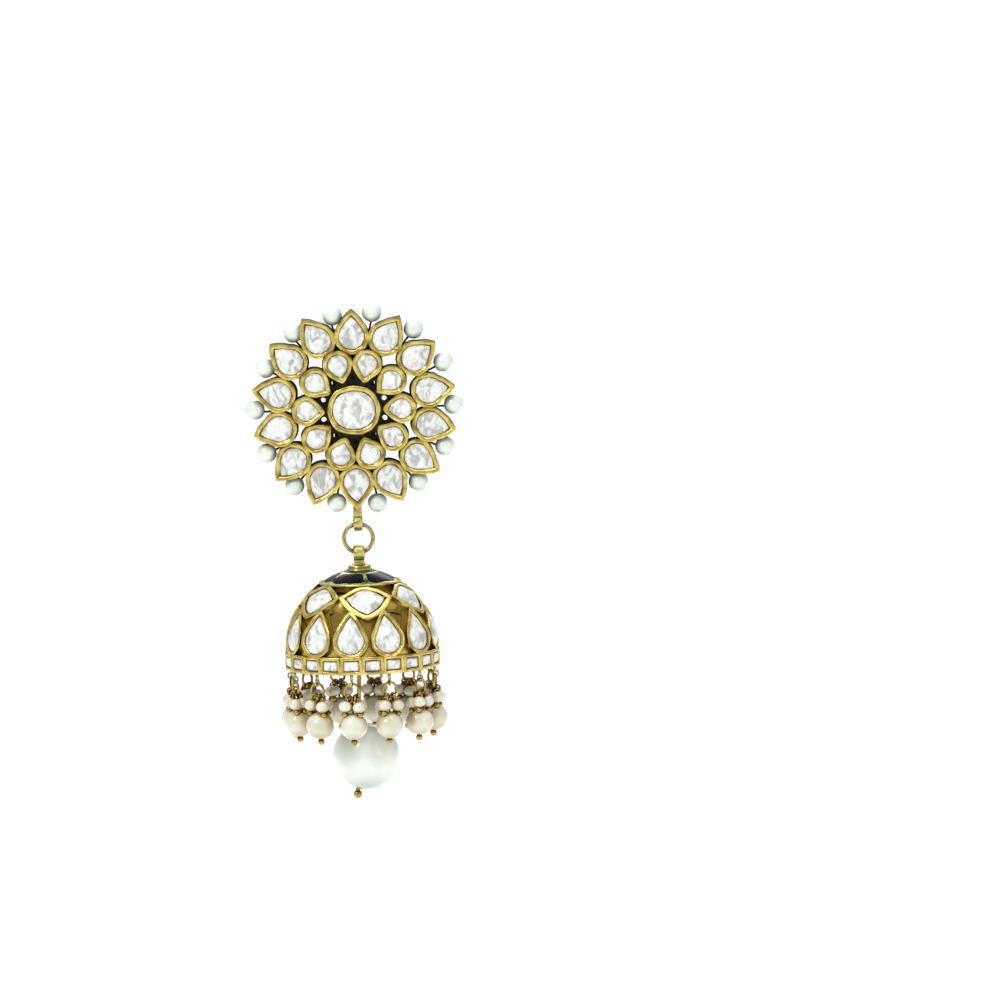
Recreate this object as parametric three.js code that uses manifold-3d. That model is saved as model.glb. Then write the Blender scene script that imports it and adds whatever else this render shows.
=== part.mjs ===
// A jhumka drop earring. A round stud of stone-set petals, edged with pearls, carries a ring, and from the
// ring hangs a pierced, stone-set bell with a fringe of pearl drops and one large pearl inside it.
// The front faces -Y and +Z is up. The origin is where the ear post leaves the back of the stud.
// Sizes are in millimetres and angles in degrees.
import * as THREE from "three";
import { mergeVertices } from "three/addons/utils/BufferGeometryUtils.js";
import Module from "manifold-3d";

const wasm = await Module();
wasm.setup();

// Stones and their settings.
const rimWidth = 0.7; // gold showing beside a petal's stone
const tipRimWidth = 1.25; // gold showing beyond the stone's point
const solderOverlap = 0.06; // how far neighbouring settings run into each other
const stoneClearance = 0.1; // all round a loose stone, and under it
const stoneTipClearance = 0.15; // beyond its point
const stoneSeatDepth = 1.3; // from a setting's rim down to the stone's seat
const girdleBelowRim = 0.3;
const tableAboveRim = 0.1;
const tableShare = 0.62; // a stone's table, as a share of its outline
const cutReach = 1; // how far a cutting shape reaches past the metal

// The stud: a centre stone, a ring of petals pointing in and a ring of petals pointing out.
const centreStoneWidth = 8.45;
const centreStoneHeight = 7.85;
const centreSettingDepth = 3.5;
const innerPetalWidth = 4.8;
const innerPetalPoint = 2.85; // from the middle of the round end to the point
const innerPetalDepth = 3.0;
const outerPetalWidth = 5.6;
const outerPetalPoint = 4.3;
const outerPetalDepth = 2.6;
const spokeWidth = 0.8; // the solder joint between an inner petal's point and the centre
const spokeDepth = 1.3;
const braceWidth = 6.6;
const braceLength = 22;
const braceThickness = 0.8;
const hoopWidth = 1.4; // of the flat hoops soldered behind the two rings of petals

// Hand-set petals, clockwise from the top. The lean turns a petal about its round end, and the shift moves it
// outwards, as a share of its width.
const outerPetals = [
  { lean: 0, shift: -0.1 },
  { lean: 8, shift: 0.02 },
  { lean: 2, shift: 0.07 },
  { lean: 6, shift: 0 },
  { lean: 0, shift: 0 },
  { lean: -3, shift: 0.05 },
  { lean: -3, shift: 0.01 },
  { lean: 0, shift: -0.12 },
  { lean: -3, shift: 0.01 },
  { lean: -8, shift: 0.06 },
  { lean: -1, shift: 0 },
  { lean: -1, shift: 0 },
  { lean: 3, shift: 0.07 },
  { lean: -10, shift: 0.02 },
];
const innerPetals = [
  { lean: -5, shift: 0 },
  { lean: -1, shift: 0 },
  { lean: -1, shift: 0 },
  { lean: -2, shift: 0 },
  { lean: -1, shift: 0 },
  { lean: -2, shift: 0 },
  { lean: -4, shift: 0 },
  { lean: 5, shift: 0 },
  { lean: 3, shift: 0 },
  { lean: 5, shift: 0 },
];

// Pearls strung round the stud's edge, one in each notch between two outer petals.
const edgePearlDiameter = 3.2;
const edgePearlGap = 0.25; // between a pearl and the petals beside it
const edgeWireDiameter = 0.36;
const edgeWireClearance = 0.15;
const edgeWireHeight = 0.7; // above the stud's back

// The post, above the stud's middle so that the stud hangs upright.
const postAboveMiddle = 5.4;
const postDiameter = 1.0;
const postLength = 11;
const postBaseDiameter = 3.4;
const postBaseThickness = 0.5;

// The ring and the two strip bails that hang on it.
const ringOuterDiameter = 5.27;
const ringWireDiameter = 0.65;
const bailHoleDiameter = 1.4;
const bailWall = 0.6;
const studBailWidth = 1.55;
const bellBailWidth = 1.95;
const hangGap = 0.1; // between a hanging link and what carries it
const bailBelowPetal = 2.4; // from the lowest petal's point down to the hole's middle
const bellBailAboveCollar = 1.84; // from the collar's top up to the hole's middle

// The bell: a half sphere of settings over a straight band.
const bellRadius = 12.3;
const bellWall = 1.3;
const bandTop = -0.25; // above the middle of the half sphere
const bandHeight = 2.85;
const bandProud = 0.1; // how far the band stands outside the half sphere
const bandStoneCount = 22;
const bandStoneWidth = 2.6;
const bandStoneHeight = 1.65;
const bellTurn = 6.5; // from the front to the middle of a marquise
const marquiseCount = 6;
const marquiseElevation = 46; // of its side points
const marquiseRise = 2.8; // above its side points
const marquiseDip = 4.05; // below its side points
const marquiseTipRim = 1.4; // gold showing beyond each of the stone's side points
const marquiseFootRim = 1.1; // gold showing below the stone
const marquiseFloor = 0.4; // metal under a marquise's stone
const pearWidth = 5.65;
const pearOverlap = 0.25; // how far a pear's point runs into the marquise above it
const pearLap = 0.25; // how far its round end runs into the band below it
const pearTipRim = 1.1; // gold showing beyond the stone's point
const bellRimWidth = 0.62;
const bellStoneDepth = 0.3; // from the rim down to a stone fused in its setting
const bellStoneRoot = 0.15; // how far such a stone goes on into the metal

// The enamelled cap, its collar and the eye inside it. The enamel lies flush in the cap, in one solid
// with it.
const capLap = 0.3; // how far its lower edge laps over the marquises
const collarRadius = 2.0;
const collarTop = 13.35; // above the middle of the half sphere
const collarHeight = 0.9;
const collarBevel = 0.35;
const capShoulderRadius = 4.2;
const capShoulderHeight = 11.65; // above the middle of the half sphere
const eyeRadius = 1.1; // of the eye's and the pin loop's wire centres
const eyeWireDiameter = 0.5;

// The fringe: a drop under each pear, on a ring through a strip loop.
const fringeLoopHole = 0.8;
const fringeLoopWall = 0.25;
const fringeLoopWidth = 0.6;
const fringeLoopReach = 1.35; // from the band's lower edge to the hole's middle
const fringeRingDiameter = 2.85;
const fringeWireDiameter = 0.42;
const fringeStemLength = 2.25; // from the ring to the pearl
const fringePearlDiameter = 4.4;
const fringeBallDiameter = 1.06;
const fringeBallSunk = 0.1; // the share of the ball above the pearl's foot

// The large pearl on its pin. It is drilled off its middle, so that the pin leans.
const dropPearlDiameter = 10.8;
const dropPearlOffset = 1.25;
const dropPearlBelowBell = 17.95; // below the middle of the half sphere
const dropPinDiameter = 0.7;
const dropPinClearance = 0.12;
const dropBallDiameter = 1.36;
const dropBallSunk = 0.05; // the share of the ball above the pearl's foot

// How finely round shapes are cut into flats.
const roundEndSteps = 6;
const pearEndSteps = 6;
const bailSteps = 8;
const fringeLoopSteps = 6;
const ringSteps = 12;
const wireSides = 5;
const pearlSides = 10;
const pearlBands = 5;
const smallBands = 4;
const smallBallSides = 8;
const smallBallBands = 3;

const finishes = {
  gold: { color: 0xd9b445, roughness: 0.28, metalness: 1 },
  stone: { color: 0xe9edf0, roughness: 0.08, metalness: 0 },
  pearl: { color: 0xf3efe6, roughness: 0.22, metalness: 0 },
};

const earring = new THREE.Group();
const up = new THREE.Vector3(0, 0, 1);

// Solids and meshes.
function solidOf(geometry) {
  const plain = new THREE.BufferGeometry();
  const loose = geometry.index ? geometry.toNonIndexed() : geometry;
  plain.setAttribute("position", loose.getAttribute("position"));
  const merged = mergeVertices(plain, 1e-4);
  const vertProperties = new Float32Array(merged.getAttribute("position").array);
  const triVerts = new Uint32Array(merged.index.array);
  return new wasm.Manifold(new wasm.Mesh({ numProp: 3, vertProperties, triVerts }));
}

function geometryOf(solid) {
  const mesh = solid.getMesh();
  const geometry = new THREE.BufferGeometry();
  geometry.setAttribute("position", new THREE.BufferAttribute(new Float32Array(mesh.vertProperties), 3));
  geometry.setIndex(new THREE.BufferAttribute(new Uint32Array(mesh.triVerts), 1));
  geometry.computeVertexNormals();
  return geometry;
}

function joined(geometries) {
  return wasm.Manifold.union(geometries.map(solidOf));
}

function addPiece(group, name, geometry, finish) {
  const mesh = new THREE.Mesh(geometry, new THREE.MeshStandardMaterial(finishes[finish]));
  mesh.name = name;
  group.add(mesh);
  return mesh;
}

function numbered(name, index) {
  return `${name}_${String(index + 1).padStart(2, "0")}`;
}

// A closed solid through rings of points, each ring anticlockwise seen from the last one. A cap is a fan from
// its middle where one is given, and otherwise from its first point.
function loft(rings, bottomMiddle = null, topMiddle = null) {
  const count = rings[0].length;
  const points = rings.flat();
  const index = [];
  for (let ring = 0; ring < rings.length - 1; ring++) {
    for (let i = 0; i < count; i++) {
      const here = ring * count + i;
      const next = ring * count + ((i + 1) % count);
      index.push(here, next, next + count, here, next + count, here + count);
    }
  }
  const addCap = (first, middle, flip) => {
    if (middle) points.push(middle);
    const from = middle ? 0 : 1;
    const to = middle ? count : count - 1;
    for (let i = from; i < to; i++) {
      const apex = middle ? points.length - 1 : first;
      const a = first + i;
      const b = first + ((i + 1) % count);
      index.push(apex, flip ? b : a, flip ? a : b);
    }
  };
  addCap(0, bottomMiddle, true);
  addCap((rings.length - 1) * count, topMiddle, false);
  const geometry = new THREE.BufferGeometry().setFromPoints(points);
  geometry.setIndex(index);
  return geometry;
}

function at(outline, height) {
  return outline.map((point) => new THREE.Vector3(point.x, point.y, height));
}

function scaled(outline, share, middle = new THREE.Vector2()) {
  return outline.map((point) => point.clone().sub(middle).multiplyScalar(share).add(middle));
}

function turned(outline, degrees) {
  const angle = THREE.MathUtils.degToRad(degrees);
  return outline.map((point) => point.clone().rotateAround(new THREE.Vector2(), angle));
}

function moved(outline, x, y) {
  return outline.map((point) => new THREE.Vector2(point.x + x, point.y + y));
}

// A petal's outline: a round end about the origin, and two slightly bowed sides that meet in a point at +y.
const petalBow = 0.03; // how far its sides bow out, as a share of its point
const bluntestPetal = 0.95; // the most that its round end may be, as a share of its point

function petalOutline(width, point, steps = roundEndSteps) {
  const radius = width / 2;
  const bow = petalBow * point;
  const tangent = Math.acos(Math.min(bluntestPetal, radius / point));
  const outline = [];
  for (let i = 0; i <= steps; i++) {
    const angle = Math.PI / 2 + tangent + ((2 * Math.PI - 2 * tangent) * i) / steps;
    outline.push(new THREE.Vector2(radius * Math.cos(angle), radius * Math.sin(angle)));
  }
  const tip = new THREE.Vector2(0, point);
  const right = outline[steps].clone().lerp(tip, 0.5);
  right.add(new THREE.Vector2(bow * Math.sin(tangent), bow * Math.cos(tangent)));
  return [...outline, right, tip, new THREE.Vector2(-right.x, right.y)];
}

function ovalOutline(width, height, steps) {
  return Array.from({ length: steps }, (_, i) => {
    const angle = (2 * Math.PI * i) / steps;
    return new THREE.Vector2((width / 2) * Math.cos(angle), (height / 2) * Math.sin(angle));
  });
}

// A rectangle with its corners cut off.
function cutCornerOutline(width, height) {
  const cut = 0.2 * Math.min(width, height);
  const x = width / 2;
  const y = height / 2;
  const corners = [
    [x, -y + cut], [x, y - cut], [x - cut, y], [-x + cut, y],
    [-x, y - cut], [-x, -y + cut], [-x + cut, -y], [x - cut, -y],
  ];
  return corners.map(([cornerX, cornerY]) => new THREE.Vector2(cornerX, cornerY));
}

// A petal's place on the stud: its outline moved out along its own direction, clockwise from the top.
function placedOnStud(outline, direction, distance, lean) {
  return turned(moved(turned(outline, -lean), 0, distance), -direction);
}

// A ball whose poles lie along +Z.
function ball(diameter, sides, bands, height = diameter) {
  const geometry = new THREE.SphereGeometry(diameter / 2, sides, bands);
  return geometry.rotateX(Math.PI / 2).scale(1, 1, height / diameter);
}

function rod(diameter, low, high, sides) {
  const geometry = new THREE.CylinderGeometry(diameter / 2, diameter / 2, high - low, sides);
  return geometry.rotateX(Math.PI / 2).translate(0, 0, (low + high) / 2);
}

// A wire ring in the XZ plane, round the origin.
function wireRing(radius, wireDiameter, steps, sides) {
  return new THREE.TorusGeometry(radius, wireDiameter / 2, sides, steps).rotateX(Math.PI / 2);
}

// A strip bent into a loop: a rounded plate in the YZ plane with a hole about the origin, whose shank runs
// along Z to the height given, which is negative for a shank that goes down.
function stripLoop(holeDiameter, wall, width, shankTo, steps) {
  const outer = holeDiameter / 2 / Math.cos(Math.PI / steps) + wall;
  const towards = Math.sign(shankTo);
  const shape = new THREE.Shape();
  shape.moveTo(-outer, shankTo);
  shape.lineTo(outer, shankTo);
  for (let i = 0; i <= steps / 2; i++) {
    const angle = (2 * Math.PI * i) / steps;
    shape.lineTo(outer * Math.cos(angle), -towards * outer * Math.sin(angle));
  }
  shape.closePath();
  const hole = new THREE.Path();
  const holeRadius = holeDiameter / 2 / Math.cos(Math.PI / steps);
  for (let i = 0; i < steps; i++) {
    const angle = (2 * Math.PI * i) / steps;
    const x = holeRadius * Math.cos(angle);
    const y = holeRadius * Math.sin(angle);
    if (i === 0) hole.moveTo(x, y);
    else hole.lineTo(x, y);
  }
  hole.closePath();
  shape.holes.push(hole);
  const plate = new THREE.ExtrudeGeometry(shape, { depth: width, bevelEnabled: false });
  return plate.translate(0, 0, -width / 2).rotateX(Math.PI / 2).rotateZ(Math.PI / 2);
}

// A loose stone on its seat: straight to the girdle, then sloping facets up to a flat table.
function stoneOnStud(outline, middle, settingDepth) {
  const seat = settingDepth - stoneSeatDepth + stoneClearance;
  const table = scaled(outline, tableShare, middle);
  return loft([
    at(outline, seat),
    at(outline, settingDepth - girdleBelowRim),
    at(table, settingDepth + tableAboveRim),
  ]);
}

// The stud lies in its own XY plane with its back at z = 0, and is stood up afterwards.
const stud = new THREE.Group();
const outerRingRadius = (outerPetalWidth / 2 - solderOverlap) / Math.sin(Math.PI / outerPetals.length);
const innerRingRadius = (innerPetalWidth / 2 - solderOverlap) / Math.sin(Math.PI / innerPetals.length);
const lowestPetal = outerPetals[outerPetals.length / 2];
const lowestPoint = outerRingRadius + lowestPetal.shift * outerPetalWidth + outerPetalPoint;
const studBailHole = -(lowestPoint + bailBelowPetal);
const bailHeight = outerPetalDepth / 2; // of the bails' and the ring's middle above the stud's back

// What one ring of petals needs: where each outline, pocket and stone goes.
function petalRing(petals, width, point, ringRadius, firstDirection, pointsOut) {
  const pocketPoint = point - tipRimWidth;
  const pocketWidth = width - 2 * rimWidth;
  const stoneWidth = pocketWidth - 2 * stoneClearance;
  const stonePoint = pocketPoint - stoneTipClearance;
  return petals.map((petal, i) => {
    const direction = firstDirection + (360 * i) / petals.length;
    const distance = ringRadius + petal.shift * width;
    const flip = pointsOut ? 0 : 180;
    const place = (outline) => placedOnStud(turned(outline, flip), direction, distance, petal.lean);
    return {
      direction,
      distance,
      middle: place([new THREE.Vector2()])[0],
      tip: place([new THREE.Vector2(0, point)])[0],
      outline: place(petalOutline(width, point)),
      pocket: place(petalOutline(pocketWidth, pocketPoint)),
      stone: place(petalOutline(stoneWidth, stonePoint)),
    };
  });
}

const outerRing = petalRing(outerPetals, outerPetalWidth, outerPetalPoint, outerRingRadius, 0, true);
const halfStep = 180 / innerPetals.length;
const innerRing = petalRing(innerPetals, innerPetalWidth, innerPetalPoint, innerRingRadius, halfStep, false);

function prism(outline, low, high) {
  const shape = new THREE.Shape(outline);
  return new THREE.ExtrudeGeometry(shape, { depth: high - low, bevelEnabled: false }).translate(0, 0, low);
}

// A solder joint from the centre setting to an inner petal's point.
function spoke(tip) {
  const length = tip.length() + rimWidth - centreStoneHeight / 2 + rimWidth;
  const box = new THREE.BoxGeometry(spokeWidth, length, spokeDepth);
  const turn = Math.atan2(tip.y, tip.x) - Math.PI / 2;
  const from = centreStoneHeight / 2 - rimWidth;
  return box.translate(0, from + length / 2, spokeDepth / 2).rotateZ(turn);
}

// The circle that the edge pearls are strung on: each pearl sits in its notch, clear of both petals.
const notchAngle = Math.PI / outerPetals.length;
const notchReach = outerPetalWidth / 2 + edgePearlDiameter / 2 + edgePearlGap;
const wireCircleRadius = outerRingRadius * Math.cos(notchAngle)
  + Math.sqrt(notchReach ** 2 - (outerRingRadius * Math.sin(notchAngle)) ** 2);

function edgeWire(diameter, low) {
  const steps = 2 * outerPetals.length;
  const ring = new THREE.TorusGeometry(wireCircleRadius, diameter / 2, wireSides, steps);
  return ring.translate(0, 0, low);
}

// A slot from the back for the wire, through every outer petal.
function wireSlot() {
  const half = edgeWireDiameter / 2 + edgeWireClearance;
  const steps = 2 * outerPetals.length;
  const ring = (radius, height) => at(ovalOutline(2 * radius, 2 * radius, steps), height);
  const disc = (radius, low, high) => solidOf(loft([ring(radius, low), ring(radius, high)]));
  const top = edgeWireHeight + half;
  const outer = disc(wireCircleRadius + half, -cutReach, top);
  const inner = disc(wireCircleRadius - half, -2 * cutReach, top + cutReach);
  return outer.subtract(inner);
}

// A flat hoop behind a ring of petals, which holds its settings together.
function hoop(radius) {
  const half = hoopWidth / 2;
  return turnedRing([
    [radius - half, -braceThickness], [radius + half, -braceThickness],
    [radius + half, solderOverlap], [radius - half, solderOverlap],
  ], outerPetals.length);
}

function buildStudFrame() {
  const centreSteps = 2 * bailSteps;
  const centre = ovalOutline(centreStoneWidth, centreStoneHeight, centreSteps);
  const pocket = ovalOutline(centreStoneWidth - 2 * rimWidth, centreStoneHeight - 2 * rimWidth, centreSteps);
  const brace = new THREE.BoxGeometry(braceWidth, braceLength, braceThickness + solderOverlap);
  const shank = bailBelowPetal + rimWidth;
  const bail = stripLoop(bailHoleDiameter, bailWall, studBailWidth, shank, bailSteps).rotateX(-Math.PI / 2);
  const metal = joined([
    prism(centre, 0, centreSettingDepth),
    ...innerRing.map((petal) => prism(petal.outline, 0, innerPetalDepth)),
    ...outerRing.map((petal) => prism(petal.outline, 0, outerPetalDepth)),
    ...innerRing.map((petal) => spoke(petal.tip)),
    brace.translate(0, 0, (solderOverlap - braceThickness) / 2),
    hoop(innerRingRadius),
    hoop(outerRingRadius),
    bail.translate(0, studBailHole, bailHeight),
  ]);
  const above = centreSettingDepth + cutReach;
  const pockets = joined([
    prism(pocket, centreSettingDepth - stoneSeatDepth, above),
    ...innerRing.map((petal) => prism(petal.pocket, innerPetalDepth - stoneSeatDepth, above)),
    ...outerRing.map((petal) => prism(petal.pocket, outerPetalDepth - stoneSeatDepth, above)),
  ]);
  addPiece(stud, "stud_frame", geometryOf(metal.subtract(pockets).subtract(wireSlot())), "gold");
}

function buildStudStones() {
  const less = 2 * (rimWidth + stoneClearance);
  const centre = ovalOutline(centreStoneWidth - less, centreStoneHeight - less, 2 * bailSteps);
  addPiece(stud, "centre_stone", stoneOnStud(centre, new THREE.Vector2(), centreSettingDepth), "stone");
  innerRing.forEach((petal, i) => {
    const stone = stoneOnStud(petal.stone, petal.middle, innerPetalDepth);
    addPiece(stud, numbered("inner_stone", i), stone, "stone");
  });
  outerRing.forEach((petal, i) => {
    const stone = stoneOnStud(petal.stone, petal.middle, outerPetalDepth);
    addPiece(stud, numbered("outer_stone", i), stone, "stone");
  });
}

// The edge pearls and the wire that they are strung on, as one string.
function buildEdgePearls() {
  const pearls = outerRing.map((_, i) => {
    const pearl = ball(edgePearlDiameter, pearlSides, smallBands);
    return pearl.translate(0, wireCircleRadius, edgeWireHeight).rotateZ(-notchAngle * (2 * i + 1));
  });
  const string = joined([edgeWire(edgeWireDiameter, edgeWireHeight), ...pearls]);
  addPiece(stud, "edge_pearls", geometryOf(string), "pearl");
}

buildStudFrame();
buildStudStones();
buildEdgePearls();
stud.rotation.x = Math.PI / 2;
stud.position.set(0, -braceThickness, -postAboveMiddle);
earring.add(stud);

// The post is one plain piece, flat against the brace, with a rounded end.
function buildPost() {
  const profile = [
    [0, 0],
    [postBaseDiameter / 2, 0],
    [postBaseDiameter / 2, postBaseThickness],
    [postDiameter / 2, postBaseThickness],
    [postDiameter / 2, postLength - postDiameter / 2],
    [postDiameter / 4, postLength],
    [0, postLength],
  ];
  const points = profile.map(([radius, length]) => new THREE.Vector2(radius, length));
  addPiece(earring, "ear_post", new THREE.LatheGeometry(points, ringSteps), "gold");
}

buildPost();

// The ring hangs in the stud's bail, and the bell's bail hangs on the ring. Inside a strip bail the ring's
// wire bends by its sagitta, so it lies that much further from the strip's middle than from its edges.
const ringRadius = (ringOuterDiameter - ringWireDiameter) / 2;
const sagitta = (stripWidth) => ringRadius - Math.sqrt(ringRadius ** 2 - (stripWidth / 2) ** 2);
const hangDrop = (stripWidth) => (bailHoleDiameter - ringWireDiameter) / 2 - hangGap - sagitta(stripWidth);
const hangY = -braceThickness - bailHeight;
const ringZ = -postAboveMiddle + studBailHole - hangDrop(studBailWidth) - ringRadius;
const bellBailHole = ringZ - ringRadius - hangDrop(bellBailWidth);
const bellZ = bellBailHole - bellBailAboveCollar - collarTop;

const ringWire = wireRing(ringRadius, ringWireDiameter, ringSteps, wireSides);
const ring = addPiece(earring, "hanging_ring", ringWire, "gold");
ring.position.set(0, hangY, ringZ);

// The bell, about the middle of its half sphere. Azimuth 0 is the front, and grows towards +X.
const bell = new THREE.Group();
bell.position.set(0, hangY, bellZ);
earring.add(bell);

function onBell(azimuth, elevation, radius) {
  const a = THREE.MathUtils.degToRad(azimuth);
  const e = THREE.MathUtils.degToRad(elevation);
  const outwards = new THREE.Vector3(Math.sin(a) * Math.cos(e), -Math.cos(a) * Math.cos(e), Math.sin(e));
  return outwards.multiplyScalar(radius);
}

// An outline in millimetres, wrapped on the bell about one point of it, at a distance from the bell's middle.
function wrapped(outline, azimuth, elevation, radius) {
  const alongDegree = THREE.MathUtils.degToRad(1) * bellRadius;
  const acrossDegree = alongDegree * Math.cos(THREE.MathUtils.degToRad(elevation));
  return outline.map((p) => onBell(azimuth + p.x / acrossDegree, elevation + p.y / alongDegree, radius));
}

function wrappedPrism(outline, azimuth, elevation, low, high) {
  const rings = [wrapped(outline, azimuth, elevation, low), wrapped(outline, azimuth, elevation, high)];
  return loft(rings, onBell(azimuth, elevation, low), onBell(azimuth, elevation, high));
}

// A stone wrapped on the bell: its outline at each of the radii, the last of them its table.
function wrappedStone(outline, azimuth, elevation, low, girdle, top) {
  const table = scaled(outline, tableShare);
  const rings = [
    wrapped(outline, azimuth, elevation, low),
    wrapped(outline, azimuth, elevation, girdle),
    wrapped(table, azimuth, elevation, top),
  ];
  return loft(rings, onBell(azimuth, elevation, low));
}

// A marquise about the line between its side points, with a flatter upper edge and a deeper lower one. Its
// corners are shares of half its width, and of its rise or its dip.
const marquiseCorners = [
  { out: 1, up: 0 },
  { out: 0.62, up: 0.66 },
  { out: 0.22, up: 1 },
  { out: -0.22, up: 1 },
  { out: -0.62, up: 0.66 },
  { out: -1, up: 0 },
  { out: -0.6, up: -0.56 },
  { out: -0.2, up: -1 },
  { out: 0.2, up: -1 },
  { out: 0.6, up: -0.56 },
];

function marquiseOutline(width, rise, dip) {
  return marquiseCorners.map(({ out, up: share }) => {
    const height = share > 0 ? share * rise : share * dip;
    return new THREE.Vector2((out * width) / 2, height);
  });
}

const degreesAlong = (length) => THREE.MathUtils.radToDeg(length / bellRadius);

// A pear stands on the band, and its point reaches the marquise above it, halfway along the lower edge.
const marquiseShoulder = 0.67; // the drop there, as a share of the marquise's dip
const pearFoot = bandTop - pearLap;
const pearElevation = degreesAlong(pearFoot + pearWidth / 2);
const pearPoint = THREE.MathUtils.degToRad(marquiseElevation - pearElevation) * bellRadius
  - marquiseShoulder * marquiseDip + pearOverlap;

const bellInside = bellRadius - bellWall;
const marquiseTurn = 360 / marquiseCount;
const pearTurn = marquiseTurn / 2;
const acrossMarquise = THREE.MathUtils.degToRad(marquiseTurn) * bellRadius
  * Math.cos(THREE.MathUtils.degToRad(marquiseElevation));
const marquiseWidth = acrossMarquise + 2 * solderOverlap;
const marquiseAzimuths = Array.from({ length: marquiseCount }, (_, i) => bellTurn + i * marquiseTurn);
const pearAzimuths = marquiseAzimuths.flatMap((a) => [a - pearTurn / 2, a + pearTurn / 2]);
const bandOutside = bellRadius + bandProud;
const bandBottom = bandTop - bandHeight;
const marquiseSetting = marquiseOutline(marquiseWidth, marquiseRise, marquiseDip);
const pocketWidth = marquiseWidth - 2 * marquiseTipRim;
const pocketRise = marquiseRise - bellRimWidth;
const pocketDip = marquiseDip - marquiseFootRim;
const marquisePocket = marquiseOutline(pocketWidth, pocketRise, pocketDip);
const marquiseStone = marquiseOutline(
  pocketWidth - 2 * stoneTipClearance, pocketRise - stoneClearance, pocketDip - stoneClearance);
const marquiseSeat = bellInside + marquiseFloor;
const capEdge = marquiseElevation + degreesAlong(marquiseRise - capLap);

// A solid of revolution about Z, from a closed profile of radius and height.
function turnedRing(profile, steps) {
  const points = [...profile, profile[0]].map(([radius, height]) => new THREE.Vector2(radius, height));
  return new THREE.LatheGeometry(points, steps).rotateX(Math.PI / 2);
}

function domePoint(radius, elevation) {
  const e = THREE.MathUtils.degToRad(elevation);
  return [radius * Math.cos(e), radius * Math.sin(e)];
}

// The cap rises from the half sphere to the collar, a little fuller than the sphere. The collar closes it.
function capAndCollar() {
  const collarFoot = collarTop - collarHeight;
  const cap = turnedRing([
    domePoint(bellInside, capEdge), domePoint(bellRadius, capEdge), [capShoulderRadius, capShoulderHeight],
    [collarRadius / 2, collarFoot], [collarRadius / 2, collarFoot - bellWall],
    [capShoulderRadius, capShoulderHeight - bellWall],
  ], bandStoneCount);
  const overlapRadius = collarRadius / 2 + solderOverlap;
  const collar = turnedRing([
    [0, collarFoot - bellWall / 2], [overlapRadius, collarFoot - bellWall / 2], [overlapRadius, collarFoot],
    [collarRadius, collarFoot], [collarRadius, collarTop - collarBevel],
    [collarRadius - collarBevel, collarTop], [0, collarTop],
  ], ringSteps);
  return [cap, collar];
}

// Where a drop hangs: its strip loop's hole under the middle of the band's wall.
const fringeRadius = (bandOutside + bellInside) / 2;
const fringeHoleZ = bandBottom - fringeLoopReach;

function fringeLoop(azimuth) {
  const shank = fringeLoopReach + solderOverlap;
  const loop = stripLoop(fringeLoopHole, fringeLoopWall, fringeLoopWidth, shank, fringeLoopSteps);
  return loop.translate(0, -fringeRadius, fringeHoleZ).rotateZ(THREE.MathUtils.degToRad(azimuth));
}

const pearSetting = petalOutline(pearWidth, pearPoint, pearEndSteps);
const pearStone = petalOutline(pearWidth - 2 * bellRimWidth, pearPoint - pearTipRim, pearEndSteps);
const bandStone = cutCornerOutline(bandStoneWidth, bandStoneHeight);

// A band stone's outline, stood up on the band.
function onBand(outline, azimuth, radius) {
  const a = THREE.MathUtils.degToRad(azimuth);
  const middle = (bandTop + bandBottom) / 2;
  return outline.map((p) => new THREE.Vector3(p.x, -radius, p.y + middle).applyAxisAngle(up, a));
}

function buildBellFrame() {
  const settings = [
    ...marquiseAzimuths.map(
      (a) => wrappedPrism(marquiseSetting, a, marquiseElevation, bellInside, bellRadius)),
    ...pearAzimuths.map((a) => wrappedPrism(pearSetting, a, pearElevation, bellInside, bellRadius)),
  ];
  const bandCorner = bandOutside / Math.cos(Math.PI / bandStoneCount);
  const band = turnedRing([
    [bellInside, bandBottom], [bandCorner, bandBottom], [bandCorner, bandTop], [bellInside, bandTop],
  ], bandStoneCount);
  const bandAzimuths = Array.from({ length: bandStoneCount }, (_, i) => ((i + 0.5) * 360) / bandStoneCount);
  const floor = bellRadius - bellStoneDepth;
  const bandFloor = bandOutside - bellStoneDepth;
  const above = bandOutside + cutReach;
  const seats = [
    ...marquiseAzimuths.map((a) => wrappedPrism(marquisePocket, a, marquiseElevation, marquiseSeat, above)),
    ...pearAzimuths.map((a) => wrappedPrism(pearStone, a, pearElevation, floor, above)),
    ...bandAzimuths.map((a) => loft([onBand(bandStone, a, bandFloor), onBand(bandStone, a, above)])),
  ];
  const stones = [
    ...pearAzimuths.map((a) =>
      wrappedStone(pearStone, a, pearElevation, floor - bellStoneRoot, floor, bellRadius + tableAboveRim)),
    ...bandAzimuths.map((a) => loft([
      onBand(bandStone, a, bandFloor - bellStoneRoot),
      onBand(bandStone, a, bandFloor),
      onBand(scaled(bandStone, tableShare), a, bandOutside + tableAboveRim),
    ])),
  ];
  const bailFoot = -bellBailAboveCollar - solderOverlap;
  const bail = stripLoop(bailHoleDiameter, bailWall, bellBailWidth, bailFoot, bailSteps);
  const eye = wireRing(eyeRadius, eyeWireDiameter, ringSteps, wireSides).rotateZ(Math.PI / 2);
  const metal = joined([
    ...settings,
    band,
    ...capAndCollar(),
    bail.translate(0, 0, collarTop + bellBailAboveCollar),
    eye.translate(0, 0, eyeZ),
    ...pearAzimuths.map(fringeLoop),
  ]);
  addPiece(bell, "bell_frame", geometryOf(metal.subtract(joined(seats)).add(joined(stones))), "gold");
}

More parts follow.
